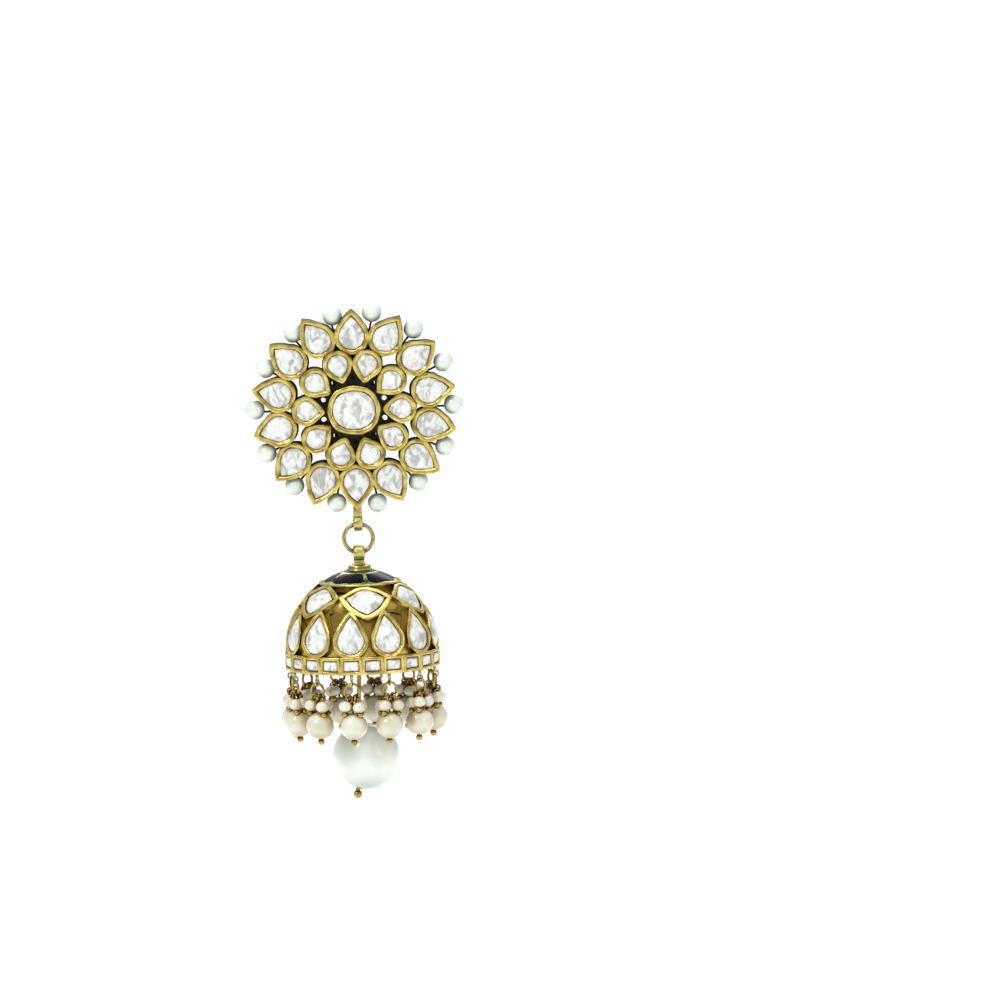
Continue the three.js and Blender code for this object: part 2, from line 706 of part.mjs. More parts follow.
function buildMarquiseStones() {
  const low = marquiseSeat + stoneClearance;
  const girdle = bellRadius - girdleBelowRim;
  const top = bellRadius + tableAboveRim;
  marquiseAzimuths.forEach((azimuth, i) => {
    const stone = wrappedStone(marquiseStone, azimuth, marquiseElevation, low, girdle, top);
    addPiece(bell, numbered("marquise_stone", i), stone, "stone");
  });
}

// A drop of the fringe: its ring, the pearl under it on a stem, and the ball that ends the stem.
function buildFringe() {
  const wireRadius = (fringeRingDiameter - fringeWireDiameter) / 2;
  const ringMiddle = fringeHoleZ - (fringeLoopHole - fringeWireDiameter) / 2 + hangGap - wireRadius;
  const ringFoot = ringMiddle - wireRadius;
  const pearlMiddle = ringFoot - fringeStemLength - fringePearlDiameter / 2;
  const ballMiddle = pearlMiddle - fringePearlDiameter / 2 - (0.5 - fringeBallSunk) * fringeBallDiameter;
  pearAzimuths.forEach((azimuth, i) => {
    const drop = joined([
      wireRing(wireRadius, fringeWireDiameter, pearlSides, wireSides).translate(0, 0, ringMiddle),
      rod(fringeWireDiameter, pearlMiddle + fringePearlDiameter / 4, ringFoot, wireSides),
      ball(fringePearlDiameter, pearlSides, smallBands).translate(0, 0, pearlMiddle),
      ball(fringeBallDiameter, smallBallSides, smallBallBands).translate(0, 0, ballMiddle),
    ]);
    const turn = THREE.MathUtils.degToRad(azimuth);
    const geometry = geometryOf(drop).translate(0, -fringeRadius, 0).rotateZ(turn);
    addPiece(bell, numbered("fringe_drop", i), geometry, "pearl");
  });
}

const eyeZ = collarTop - collarHeight - bellWall / 2 - eyeRadius + eyeWireDiameter / 2 - solderOverlap;
buildBellFrame();
buildMarquiseStones();
buildFringe();

// The large pearl hangs from the eye's lowest point and sways about it, with its weight straight below.
const drop = new THREE.Group();
const dropPivotZ = eyeZ - eyeRadius;
const dropLength = dropPivotZ + dropPearlBelowBell;
drop.position.set(0, 0, dropPivotZ);
drop.rotation.y = Math.atan2(dropPearlOffset, dropLength);
bell.add(drop);

function buildDrop() {
  const alongPin = dropLength / Math.cos(drop.rotation.y) - dropPearlOffset * Math.tan(drop.rotation.y);
  const loopMiddle = eyeWireDiameter + hangGap - eyeRadius;
  const loopFoot = loopMiddle - eyeRadius;
  const pearlFoot = Math.sqrt((dropPearlDiameter / 2) ** 2 - dropPearlOffset ** 2);
  const ballMiddle = -alongPin - pearlFoot - (0.5 - dropBallSunk) * dropBallDiameter;
  const pin = joined([
    wireRing(eyeRadius, eyeWireDiameter, ringSteps, wireSides).translate(0, 0, loopMiddle),
    rod(dropPinDiameter, ballMiddle, loopFoot, wireSides),
    ball(dropBallDiameter, pearlSides, pearlBands).translate(0, 0, ballMiddle),
  ]);
  addPiece(drop, "drop_pin", geometryOf(pin), "gold");
  const hole = rod(dropPinDiameter + 2 * dropPinClearance, -alongPin - dropPearlDiameter, 0, wireSides);
  const pearl = ball(dropPearlDiameter, 2 * bailSteps, pearlSides).translate(dropPearlOffset, 0, -alongPin);
  const drilled = solidOf(pearl).subtract(solidOf(hole));
  addPiece(drop, "drop_pearl", geometryOf(drilled), "pearl");
}

buildDrop();

export default earring;
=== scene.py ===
import math

import bpy
from mathutils import Euler, Matrix, Vector, noise


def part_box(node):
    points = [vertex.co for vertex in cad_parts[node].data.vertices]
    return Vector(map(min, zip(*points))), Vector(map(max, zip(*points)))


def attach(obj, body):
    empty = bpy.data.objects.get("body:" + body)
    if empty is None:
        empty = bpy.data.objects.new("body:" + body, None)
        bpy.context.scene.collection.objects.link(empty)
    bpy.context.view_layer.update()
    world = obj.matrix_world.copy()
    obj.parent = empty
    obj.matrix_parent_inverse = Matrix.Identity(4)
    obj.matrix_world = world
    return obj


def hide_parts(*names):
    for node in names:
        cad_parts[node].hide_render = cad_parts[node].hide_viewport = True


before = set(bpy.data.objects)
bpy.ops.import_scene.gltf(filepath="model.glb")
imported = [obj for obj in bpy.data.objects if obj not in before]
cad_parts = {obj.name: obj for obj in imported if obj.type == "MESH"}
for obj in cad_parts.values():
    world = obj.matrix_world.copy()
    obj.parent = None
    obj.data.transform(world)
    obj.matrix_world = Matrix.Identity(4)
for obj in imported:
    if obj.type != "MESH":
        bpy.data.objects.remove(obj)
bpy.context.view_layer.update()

# A jhumka earring: a flower of stone settings, edged with pearls, over a ring and a pierced bell with a
# fringe of pearls and one large pearl inside it. Shapes are made in millimetres about the middle of the
# thing they belong to, and then brought to their place in the frame, in metres.
metres = 0.001
scene = bpy.context.scene

# The waves in hand-worked metal are drawn from this number, so that every run gives the same ones.
wave_draw = 7
noise.seed_set(wave_draw)


# The room: a pale floor far below, soft lights above and beside, and a camera a little above the bell.
# The camera is rolled, because the earring hangs a little aslant in its picture.
camera_height_angle = 6.0
camera_roll = -1.9
camera_distance = 2000.0
picture_width = 159.7
disc_middle = Vector((0, -2.5, -5.4))
disc_left_of_picture_middle = 23.2
disc_above_picture_middle = 14.35
floor_height = -150.0

camera_turn = Euler((math.radians(90 - camera_height_angle), 0, 0)).to_matrix()
camera_turn = camera_turn @ Matrix.Rotation(math.radians(camera_roll), 3, "Z")
picture_right, picture_up, towards_camera = camera_turn.col
camera_place = disc_middle + towards_camera * camera_distance
camera_place += picture_right * disc_left_of_picture_middle
camera_place -= picture_up * disc_above_picture_middle
bpy.ops.object.camera_add(location=camera_place * metres, rotation=camera_turn.to_euler())
camera = bpy.context.object
camera.name = "camera"
camera.data.sensor_width = 36
camera.data.lens = 36 * camera_distance / picture_width
camera.data.clip_start = 0.01
scene.camera = camera

bpy.ops.mesh.primitive_plane_add(size=12, location=(0, 0, floor_height * metres))
floor = bpy.context.object
floor.name = "floor"
floor_finish = bpy.data.materials.new("pale_floor")
floor_finish.use_nodes = True
floor_finish.node_tree.nodes["Principled BSDF"].inputs["Base Color"].default_value = (1, 1, 1, 1)
floor_finish.node_tree.nodes["Principled BSDF"].inputs["Roughness"].default_value = 0.9
floor.data.materials.append(floor_finish)

# Each lamp: its name, where it stands from the earring's middle, its width and height, and its power.
for name, place, width, height, power in (
    ("key", (-350, -420, 420), 140, 140, 1.6),
    ("fill", (420, -380, 60), 60, 300, 0.25),
    ("top", (0, -40, 560), 260, 160, 0.6),
    ("back", (60, 500, 260), 400, 200, 0.6),
):
    bpy.ops.object.light_add(type="AREA", location=Vector(place) * metres)
    lamp = bpy.context.object
    lamp.name = f"{name}_lamp"
    lamp.data.shape = "RECTANGLE"
    lamp.data.size = width * metres
    lamp.data.size_y = height * metres
    lamp.data.energy = power
    aim = Vector((0, 0, -40)) - Vector(place)
    lamp.rotation_euler = aim.to_track_quat("-Z", "Y").to_euler()

bpy.ops.object.light_add(type="SUN", location=(0, 0, 1))
sky_light = bpy.context.object
sky_light.name = "soft_overhead_light"
sky_light.data.energy = 1.1
sky_light.data.angle = math.radians(60)

room = bpy.data.worlds.new("room")
room.use_nodes = True
room_nodes = room.node_tree.nodes
room_links = room.node_tree.links
room_nodes["Background"].inputs["Color"].default_value = (0.99, 1.0, 1.0, 1)
direction = room_nodes.new("ShaderNodeTexCoord")
direction_parts = room_nodes.new("ShaderNodeSeparateXYZ")
room_links.new(direction.outputs["Generated"], direction_parts.inputs["Vector"])
# The room is brighter overhead than at the level of the eye.
height_light = room_nodes.new("ShaderNodeMapRange")
height_light.inputs["From Min"].default_value = 0.0
height_light.inputs["From Max"].default_value = 0.8
height_light.inputs["To Min"].default_value = 0.55
height_light.inputs["To Max"].default_value = 0.8
room_links.new(direction_parts.outputs["Z"], height_light.inputs["Value"])
room_links.new(height_light.outputs["Result"], room_nodes["Background"].inputs["Strength"])
scene.world = room
scene.view_settings.view_transform = "Standard"


# The stud's settings: strips of soft gold folded round each stone, soldered side by side into a flower.
# Fourteen petals point out and ten point in, about one oval setting. Each is a box of gold with a rounded,
# hand-pressed rim. Flat hoops and a bar behind them hold the flower together.
rim_width = 0.7
tip_rim_width = 1.15
solder_overlap = 0.06
pocket_depth = 0.5
back_thickness = 0.8
post_above_middle = 5.4
outer_width = 5.6
outer_point = 4.3
outer_depth = 2.6
inner_width = 4.8
inner_point = 2.85
inner_depth = 3.0
centre_width = 8.45
centre_height = 7.85
centre_depth = 3.5
centre_rim_width = 0.8
spoke_width = 0.8
bar_width = 6.6
bar_length = 22.0
hoop_width = 1.4
petal_bow = 0.045
bluntest_petal = 0.95
slimming = 0.26
slim_point = 0.03
squareness = 0.035

# How each petal was set by hand, clockwise from the top: its lean in degrees, and how far it sits outwards
# as a share of its width.
outer_petals = (
    (0, -0.1), (8, 0.02), (2, 0.07), (6, 0), (0, 0), (-3, 0.05), (-3, 0.01),
    (0, -0.12), (-3, 0.01), (-8, 0.06), (-1, 0), (-1, 0), (3, 0.07), (-10, 0.02),
)
inner_petals = ((-5, 0), (-1, 0), (-1, 0), (-2, 0), (-1, 0), (-2, 0), (-4, 0), (5, 0), (3, 0), (5, 0))
outer_ring_radius = (outer_width / 2 - solder_overlap) / math.sin(math.pi / len(outer_petals))
inner_ring_radius = (inner_width / 2 - solder_overlap) / math.sin(math.pi / len(inner_petals))


def deselect():
    bpy.ops.object.select_all(action="DESELECT")


def select_only(piece):
    deselect()
    piece.select_set(True)
    bpy.context.view_layer.objects.active = piece


def edit_whole(piece):
    select_only(piece)
    bpy.ops.object.mode_set(mode="EDIT")
    bpy.ops.mesh.select_all(action="SELECT")


def extrude(height):
    bpy.ops.mesh.extrude_region_move(TRANSFORM_OT_translate={"value": (0, 0, height)})


def end_editing():
    bpy.ops.object.mode_set(mode="OBJECT")


def joined(pieces, name):
    deselect()
    for piece in pieces:
        piece.select_set(True)
    bpy.context.view_layer.objects.active = pieces[0]
    bpy.ops.object.join()
    pieces[0].name = name
    pieces[0].data.name = name
    return pieces[0]


def apply_modifiers(piece):
    select_only(piece)
    for modifier in list(piece.modifiers):
        bpy.ops.object.modifier_apply(modifier=modifier.name)


def rounded(piece, width, least_angle=30):
    """Rounds the edges of a piece where its faces meet at more than an angle in degrees."""
    bevel = piece.modifiers.new("rounded", "BEVEL")
    bevel.width = width
    bevel.segments = 3
    bevel.limit_method = "ANGLE"
    bevel.angle_limit = math.radians(least_angle)
    apply_modifiers(piece)


def turned(degrees, axis="Z"):
    return Matrix.Rotation(math.radians(degrees), 4, axis)


def moved(piece, change):
    """Takes a piece's place and turn into its mesh, after a further change."""
    piece.data.transform(change @ piece.matrix_basis)
    piece.matrix_basis = Matrix.Identity(4)
    return piece


def copy_of(piece, change):
    copy = piece.copy()
    copy.data = piece.data.copy()
    bpy.context.collection.objects.link(copy)
    return moved(copy, change)


def removed(piece):
    bpy.data.objects.remove(piece)


def petal_place(x, y, width, point):
    """Where a point of a circle as wide as the petal goes, once its upper side is drawn out to a point."""
    radius = width / 2
    reach = math.acos(min(bluntest_petal, radius / point))
    angle = math.atan2(x, y)
    if abs(angle) >= reach:
        return x, y
    share = 1 - abs(angle) / reach
    side = math.copysign(1, angle) if abs(angle) > 1e-4 else 0
    start = (side * radius * math.sin(reach), radius * math.cos(reach))
    bow = petal_bow * point * math.sin(math.pi * share)
    new_x = start[0] * (1 - share) + side * bow * math.sin(reach)
    new_y = start[1] * (1 - share) + point * share + bow * math.cos(reach)
    return new_x, new_y


def petal_blank(width, point, corners=40):
    """A flat petal with its round end about the middle and its point up."""
    bpy.ops.mesh.primitive_circle_add(vertices=corners, radius=width / 2, fill_type="NGON")
    blank = bpy.context.object
    for corner in blank.data.vertices:
        corner.co.x, corner.co.y = petal_place(corner.co.x, corner.co.y, width, point)
    return blank


def cushion(blank):
    """Fills the diagonals of an oval out a little, towards a rounded square."""
    for corner in blank.data.vertices:
        diagonal = math.sin(2 * math.atan2(corner.co.y, corner.co.x)) ** 2
        corner.co *= 1 + squareness * diagonal
    return blank


def slimmed(blank, point):
    """Draws the sides of a petal in towards its point, as those of the inner petals are."""
    for corner in blank.data.vertices:
        climb = max(0.0, corner.co.y / point)
        corner.co.x *= 1 - slimming * climb
        corner.co.y *= 1 + slim_point * climb
    return blank


def folded_setting(blank, depth, rim, pocket, soft=0.18, burnish=0.2):
    """Raises a flat blank to a setting: walls, a rim that slopes onto the stone inside, and a sunk seat."""
    flat_share = 0.62
    edit_whole(blank)
    extrude(depth)
    bpy.ops.mesh.inset(thickness=rim * flat_share, depth=0)
    bpy.ops.mesh.inset(thickness=rim * (1 - flat_share), depth=-burnish)
    extrude(burnish - pocket)
    end_editing()
    rounded(blank, soft, least_angle=32)
    return blank


def hand_worked(piece, amount, grain, seed=0.0):
    """Gives metal the slight waves that pressing and burnishing by hand leave in it."""
    for corner in piece.data.vertices:
        place = corner.co / grain + Vector((seed, 0, 0))
        corner.co += noise.noise_vector(place) * amount
    piece.data.update()


def smoothed(piece, angle=38):
    select_only(piece)
    bpy.ops.object.shade_smooth_by_angle(angle=math.radians(angle))
    return piece


def into_frame(piece):
    """Brings a finished piece from millimetres to the frame's metres."""
    piece.data.transform(Matrix.Scale(metres, 4) @ piece.matrix_basis)
    piece.matrix_basis = Matrix.Identity(4)


def petal_turn(direction, distance, lean, points_out):
    """Where a petal goes on the flower: its direction is clockwise from the top."""
    flip = 0 if points_out else 180
    turn = turned(-direction) @ Matrix.Translation((0, distance, 0))
    return turn @ turned(flip - lean)


# The flower lies flat with its back at height 0 while it is made, and is then stood up in its place.
onto_stud = Matrix.Translation((0, -back_thickness, -post_above_middle))
onto_stud = onto_stud @ turned(90, "X")

outer_places = [
    petal_turn(360 * i / len(outer_petals), outer_ring_radius + shift * outer_width, lean, True)
    for i, (lean, shift) in enumerate(outer_petals)
]
inner_places = [
    petal_turn(360 * (i + 0.5) / len(inner_petals), inner_ring_radius + shift * inner_width, lean, False)
    for i, (lean, shift) in enumerate(inner_petals)
]


def shader_of(finish):
    return finish.node_tree.nodes["Principled BSDF"]


def fill_inputs(finish, node, inputs):
    """Sets each input of a node, by its name or number, to a plain value or to the output of another node."""
    for name, value in inputs.items():
        if isinstance(value, bpy.types.NodeSocket):
            finish.node_tree.links.new(value, node.inputs[name])
        else:
            node.inputs[name].default_value = value


def new_finish(name, inputs):
    """A finish, with plain values on its shader."""
    finish = bpy.data.materials.new(name)
    finish.use_nodes = True
    fill_inputs(finish, shader_of(finish), inputs)
    return finish


def shader_node(finish, kind, inputs, **settings):
    node = finish.node_tree.nodes.new(f"ShaderNode{kind}")
    for name, value in settings.items():
        setattr(node, name, value)
    fill_inputs(finish, node, inputs)
    return node


def clouds(finish, place, scale, detail=2.0, distortion=0.0):
    """Soft noise, with its scale in clouds a metre."""
    inputs = {"Vector": place, "Scale": scale, "Detail": detail, "Distortion": distortion}
    return shader_node(finish, "TexNoise", inputs).outputs


def openness(finish, reach):
    """How open a place is: 1 where nothing lies within a reach in millimetres, and less in a hollow."""
    return shader_node(finish, "AmbientOcclusion", {"Distance": reach * metres}, samples=8).outputs["AO"]


def part_of(finish, vector, axis):
    return shader_node(finish, "SeparateXYZ", {"Vector": vector}).outputs[axis]


def worked_out(finish, operation, *values):
    return shader_node(finish, "Math", dict(enumerate(values)), operation=operation).outputs["Value"]


def ramp(finish, value, *stops):
    """Colours a value between stops, each of them a place from 0 to 1 and a colour."""
    node = shader_node(finish, "ValToRGB", {"Fac": value})
    elements = node.color_ramp.elements
    for end in (0, -1):
        elements[end].position = stops[end][0]
        elements[end].color = (*stops[end][1], 1)
    for position, colour in stops[1:-1]:
        elements.new(position).color = (*colour, 1)
    return node.outputs["Color"]


def remapped(finish, value, low, high, to_low=0.0, to_high=1.0, curve="LINEAR"):
    ends = {"Value": value, "From Min": low, "From Max": high, "To Min": to_low, "To Max": to_high}
    return shader_node(finish, "MapRange", ends, interpolation_type=curve).outputs["Result"]


def mixed(finish, share, first, second, how="MIX"):
    inputs = {"Factor": share, "A": first, "B": second}
    return shader_node(finish, "Mix", inputs, data_type="RGBA", blend_type=how).outputs["Result"]


def bumped(finish, height, strength, depth):
    """Bumps in a surface, up to a depth in millimetres."""
    inputs = {"Height": height, "Strength": strength, "Distance": depth * metres}
    return shader_node(finish, "Bump", inputs).outputs["Normal"]


def gold_metal(name, tone, painted_shade, roughness, wear):
    """Gold worked by hand, with fine press marks, and painted shade darker and warmer in its hollows."""
    metal = new_finish(name, {"Metallic": 1})
    place = shader_node(metal, "TexCoord", {}).outputs["Object"]
    # Painted shade: the gold turns to its shade colour in hollows, where other metal lies close.
    painted_hollow_shade = ramp(metal, openness(metal, 1.4), (0.38, painted_shade), (0.9, tone))
    cloud = clouds(metal, place, 650, 4)["Fac"]
    clouded = ramp(metal, cloud, (0.32, (0.5, 0.42, 0.24)), (0.6, (1, 1, 1)))
    marks = clouds(metal, place, 2400, 5)["Fac"]
    fill_inputs(metal, shader_of(metal), {
        "Base Color": mixed(metal, 0.8, painted_hollow_shade, clouded, "MULTIPLY"),
        "Roughness": remapped(metal, cloud, 0.3, 0.7, roughness - 0.08, roughness + 0.14),
        "Normal": bumped(metal, marks, wear, 0.07),
    })
    return metal


def darkened_for_shade_and_enamel(metal, mask, deep, dulling):
    """Deepens a gold where the mask is 1 and takes off its shine there, for painted shade and for old enamel.
    """
    shader = shader_of(metal)
    colour = shader.inputs["Base Color"].links[0].from_socket
    roughness = shader.inputs["Roughness"].links[0].from_socket
    roughened = shader_node(metal, "Mix", {"Factor": mask, "A": roughness, "B": 0.35 + 0.4 * dulling})
    fill_inputs(metal, shader, {
        "Base Color": mixed(metal, mask, colour, (*deep, 1)),
        "Metallic": remapped(metal, mask, 0, 1, 1, 1 - dulling),
        "Roughness": roughened.outputs["Result"],
    })


yellow_gold = gold_metal(
    "yellow_gold", tone=(0.7, 0.54, 0.16), painted_shade=(0.12, 0.07, 0.01), roughness=0.22, wear=0.45)

# The same gold for the settings. Their outside walls are dark: the remains of green enamel, with painted
# shade. The plates deep between them are dark with painted shade. The back is clean gold.
# Painted shade darkens the gold from the first depth back to the second, and fully beyond it.
deep_shade_from = -2.7 * metres
deep_shade_beyond = -1.9 * metres
setting_gold = gold_metal(
    "setting_gold", tone=(0.67, 0.53, 0.15), painted_shade=(0.06, 0.033, 0.004), roughness=0.16, wear=0.25)
coordinates = shader_node(setting_gold, "TexCoord", {})
facing_back = part_of(setting_gold, coordinates.outputs["Normal"], "Y")
how_deep = part_of(setting_gold, coordinates.outputs["Object"], "Y")
# The outside walls: the remains of green enamel, in patches, with painted shade.
patches = clouds(setting_gold, coordinates.outputs["Object"], 900)["Fac"]
steepness = worked_out(setting_gold, "MULTIPLY_ADD", patches, 0.35, facing_back)
wall_enamel_and_shade_mask = remapped(setting_gold, steepness, -0.3, -0.05)
# Painted shade on the plates deep between the settings.
deep_shade_mask = remapped(setting_gold, how_deep, deep_shade_from, deep_shade_beyond)
shade_and_enamel_mask = worked_out(setting_gold, "MAXIMUM", wall_enamel_and_shade_mask, deep_shade_mask)
front_mask = remapped(setting_gold, facing_back, 0.5, 0.7, 1, 0)
seen_mask = worked_out(setting_gold, "MULTIPLY", shade_and_enamel_mask, front_mask)
darkened_for_shade_and_enamel(setting_gold, seen_mask, deep=(0.03, 0.035, 0.012), dulling=0.95)


def dressed(piece, name, finish, body, slot, *nodes):
    """Names a finished piece, brings it into the frame, and ties it to its body and CAD nodes; its slot is
    not used.
    """
    piece.name = name
    piece.data.name = name
    piece.data.materials.clear()
    piece.data.materials.append(finish)
    into_frame(piece)
    smoothed(piece)
    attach(piece, body)
    if nodes:
        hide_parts(*nodes)
    return piece


def flat_hoop(radius, width, low, high, corners=64):
    bpy.ops.mesh.primitive_circle_add(vertices=corners, radius=radius + width / 2, location=(0, 0, low))
    hoop = bpy.context.object
    edit_whole(hoop)
    bpy.ops.mesh.extrude_edges_move(TRANSFORM_OT_translate={"value": (0, 0, 0)})
    shrink = (radius - width / 2) / (radius + width / 2)
    bpy.ops.transform.resize(value=(shrink, shrink, 1), center_override=(0, 0, low))
    bpy.ops.mesh.select_all(action="SELECT")
    extrude(high - low)
    bpy.ops.mesh.select_all(action="SELECT")
    bpy.ops.mesh.normals_make_consistent(inside=False)
    end_editing()
    return moved(hoop, Matrix.Identity(4))


outer_setting = folded_setting(petal_blank(outer_width, outer_point), outer_depth, rim_width, pocket_depth)
inner_setting = folded_setting(
    slimmed(petal_blank(inner_width, inner_point), inner_point), inner_depth, rim_width, pocket_depth)
flower = [copy_of(outer_setting, place) for place in outer_places]
flower += [copy_of(inner_setting, place) for place in inner_places]
removed(outer_setting)
removed(inner_setting)

bpy.ops.mesh.primitive_circle_add(vertices=48, radius=centre_width / 2, fill_type="NGON")
centre_blank = cushion(moved(bpy.context.object, Matrix.Scale(centre_height / centre_width, 4, (0, 1, 0))))
flower.append(folded_setting(centre_blank, centre_depth, centre_rim_width, pocket_depth, soft=0.25))

for place in inner_places:
    tip = place @ Vector((0, inner_point, 0))
    inside = centre_height / 2 - rim_width
    length = tip.length + rim_width - inside
    bpy.ops.mesh.primitive_cube_add(size=1)
    spoke = bpy.context.object
    shape = Matrix.Translation((0, inside + length / 2, outer_depth / 4))
    shape = shape @ Matrix.Diagonal((spoke_width, length, outer_depth / 2, 1))
    turn = Matrix.Rotation(math.atan2(tip.y, tip.x) - math.pi / 2, 4, "Z")
    flower.append(moved(spoke, turn @ shape))

# Each petal is soldered to a plate, and the plates close most of the gaps. An outer petal's plate lies nearer
# the middle than the petal, and an inner petal's is a little larger than the petal.
plate_thickness = 0.55
plate_corners = 28
outer_plate_inwards = 0.3
outer_plate_shorter = 0.2
inner_plate_wider = 0.3
inner_plate_longer = 0.1


def base_plate(width, point, inwards):
    plate = petal_blank(width, point, plate_corners)
    for corner in plate.data.vertices:
        corner.co.y -= inwards
    edit_whole(plate)
    extrude(plate_thickness)
    end_editing()
    return plate


outer_plate = base_plate(outer_width, outer_point - outer_plate_shorter, outer_plate_inwards)
inner_plate = base_plate(inner_width + inner_plate_wider, inner_point + inner_plate_longer, 0)
flower += [copy_of(outer_plate, place) for place in outer_places]
flower += [copy_of(inner_plate, place) for place in inner_places]
removed(outer_plate)
removed(inner_plate)

# A pierced washer fills the space round the centre setting, with a small hole between every two inner petals.
washer_inside = 3.4
washer_outside = 6.3
washer_hole_radius = 0.42
washer_hole_distance = 5.15
washer_thickness = 0.85
washer_middle = 0.5
bpy.ops.mesh.primitive_cylinder_add(vertices=64, radius=washer_outside, depth=washer_thickness)
washer = moved(bpy.context.object, Matrix.Translation((0, 0, washer_middle)))
drills = []
for i in range(len(inner_petals)):
    turn = Matrix.Rotation(2 * math.pi * i / len(inner_petals), 4, "Z")
    bpy.ops.mesh.primitive_cylinder_add(vertices=12, radius=washer_hole_radius, depth=4)
    drills.append(moved(bpy.context.object, turn @ Matrix.Translation((0, washer_hole_distance, 0))))
bpy.ops.mesh.primitive_cylinder_add(vertices=48, radius=washer_inside, depth=4)
drills.append(moved(bpy.context.object, Matrix.Identity(4)))
drill = joined(drills, "drill")
piercing = washer.modifiers.new("piercing", "BOOLEAN")
piercing.object = drill
piercing.operation = "DIFFERENCE"
piercing.solver = "EXACT"
piercing.use_self = True
apply_modifiers(washer)
removed(drill)
flower.append(washer)

bpy.ops.mesh.primitive_cube_add(size=1)
bar = bpy.context.object
bar_middle = Matrix.Translation((0, 0, (solder_overlap - back_thickness) / 2))
bar_size = Matrix.Diagonal((bar_width, bar_length, back_thickness + solder_overlap, 1))
flower.append(moved(bar, bar_middle @ bar_size))
flower.append(flat_hoop(inner_ring_radius, hoop_width, -back_thickness, solder_overlap))
flower.append(flat_hoop(outer_ring_radius, hoop_width, -back_thickness, solder_overlap))
stud_settings = joined(flower, "stud_settings")
hand_worked(stud_settings, amount=0.13, grain=1.3)
moved(stud_settings, onto_stud)
dressed(stud_settings, "stud_settings", setting_gold, "stud", "gold", "stud_frame")


# The stones are uncut slices of diamond over silver foil. Each has a low crown of uneven facets round a flat
# table, and fills its setting up to the rim. The foil shows through as soft white and grey streaks.
stone_gap = 0.04
crown_height = 0.34
crown_unevenness = 0.06
girdle_below_rim = 0.28
table_share = 0.58
stone_corners = 14
stone_above_seat = 0.02
centre_stone_height_share = 0.9
inner_tip_rim = 0.85


def foiled_stone(name, light, dark, edge):
    """A clear, polished top over crumpled foil: pale, with soft grey planes and painted shade along its edge.
    """
    stone = new_finish(name, {"Roughness": 0.3, "IOR": 1.6, "Coat Weight": 0.6, "Coat Roughness": 0.05})
    place = shader_node(stone, "TexCoord", {}).outputs["Object"]
    drift = clouds(stone, place, 900, 1)["Color"]
    sway = (0.9 * metres, 0.9 * metres, 0.9 * metres)
    warp = shader_node(stone, "VectorMath", {0: drift, 1: sway, 2: place}, operation="MULTIPLY_ADD")
    stretch = shader_node(stone, "Mapping", {"Vector": place, "Scale": (1.15, 1.15, 0.7)})
    fold = clouds(stone, stretch.outputs["Vector"], 620, 2, 1.1)["Fac"]
    cells = {"Vector": warp.outputs["Vector"], "Scale": 640}
    planes = shader_node(stone, "TexVoronoi", cells, feature="DISTANCE_TO_EDGE").outputs["Distance"]
    crease = remapped(stone, planes, 0, 0.11, 0.66, 1, "SMOOTHSTEP")
    foil = mixed(stone, 0.4, ramp(stone, fold, (0.36, dark), (0.54, light)), crease, "MULTIPLY")
    # Painted shade: the edge colour darkens the stone where the gold rim lies close round it.
    rim_shade_mask = remapped(stone, openness(stone, 0.5), 0.92, 0.45, 0, 0.85)
    fill_inputs(stone, shader_of(stone), {
        "Base Color": mixed(stone, rim_shade_mask, foil, (*edge, 1)),
        "Normal": bumped(stone, fold, 0.6, 0.25),
    })
    return stone


polki = foiled_stone("polki", light=(0.74, 0.76, 0.73), dark=(0.39, 0.4, 0.37), edge=(0.2, 0.17, 0.1))


def faceted(piece):
    select_only(piece)
    bpy.ops.object.shade_flat()


def slice_of_stone(blank, seat, rim_height, facet_turn):
    """Cuts a flat blank to a stone: a straight girdle from its seat, then a crown up to the table."""
    edit_whole(blank)
    bpy.ops.transform.translate(value=(0, 0, seat))
    girdle = rim_height - girdle_below_rim
    extrude(girdle - seat)
    extrude(crown_height)
    bpy.ops.transform.resize(value=(table_share, table_share, 1), center_override=(0, 0, rim_height))
    end_editing()
    for corner in blank.data.vertices:
        if corner.co.z > girdle - 0.01:
            uneven = noise.noise(Vector((corner.co.x, corner.co.y, facet_turn)) * 0.9)
            corner.co.z += crown_unevenness * uneven
    return blank


stone_room = 2 * (rim_width + stone_gap)
outer_stone = slice_of_stone(
    petal_blank(outer_width - stone_room, outer_point - tip_rim_width, stone_corners),
    outer_depth - pocket_depth + stone_above_seat, outer_depth, facet_turn=0.0)
inner_stone_point = inner_point - inner_tip_rim
inner_stone = slice_of_stone(
    slimmed(petal_blank(inner_width - stone_room, inner_stone_point, stone_corners), inner_stone_point),
    inner_depth - pocket_depth + stone_above_seat, inner_depth, facet_turn=3.0)
for kind, blank, places in (("outer", outer_stone, outer_places), ("inner", inner_stone, inner_places)):
    for i, place in enumerate(places):
        stone = copy_of(blank, onto_stud @ place)
        node = f"{kind}_stone_{i + 1:02d}"
        dressed(stone, f"{kind}_polki_{i + 1:02d}", polki, "stud", "polki_stone", node)
        faceted(stone)
    removed(blank)

centre_stone_radius = centre_width / 2 - centre_rim_width - stone_gap
bpy.ops.mesh.primitive_circle_add(vertices=20, radius=centre_stone_radius, fill_type="NGON")
centre_slice = cushion(moved(bpy.context.object, Matrix.Scale(centre_stone_height_share, 4, (0, 1, 0))))
slice_of_stone(centre_slice, centre_depth - pocket_depth + stone_above_seat, centre_depth, facet_turn=6.0)
moved(centre_slice, onto_stud)
dressed(centre_slice, "centre_polki", polki, "stud", "polki_stone", "centre_stone")
faceted(centre_slice)


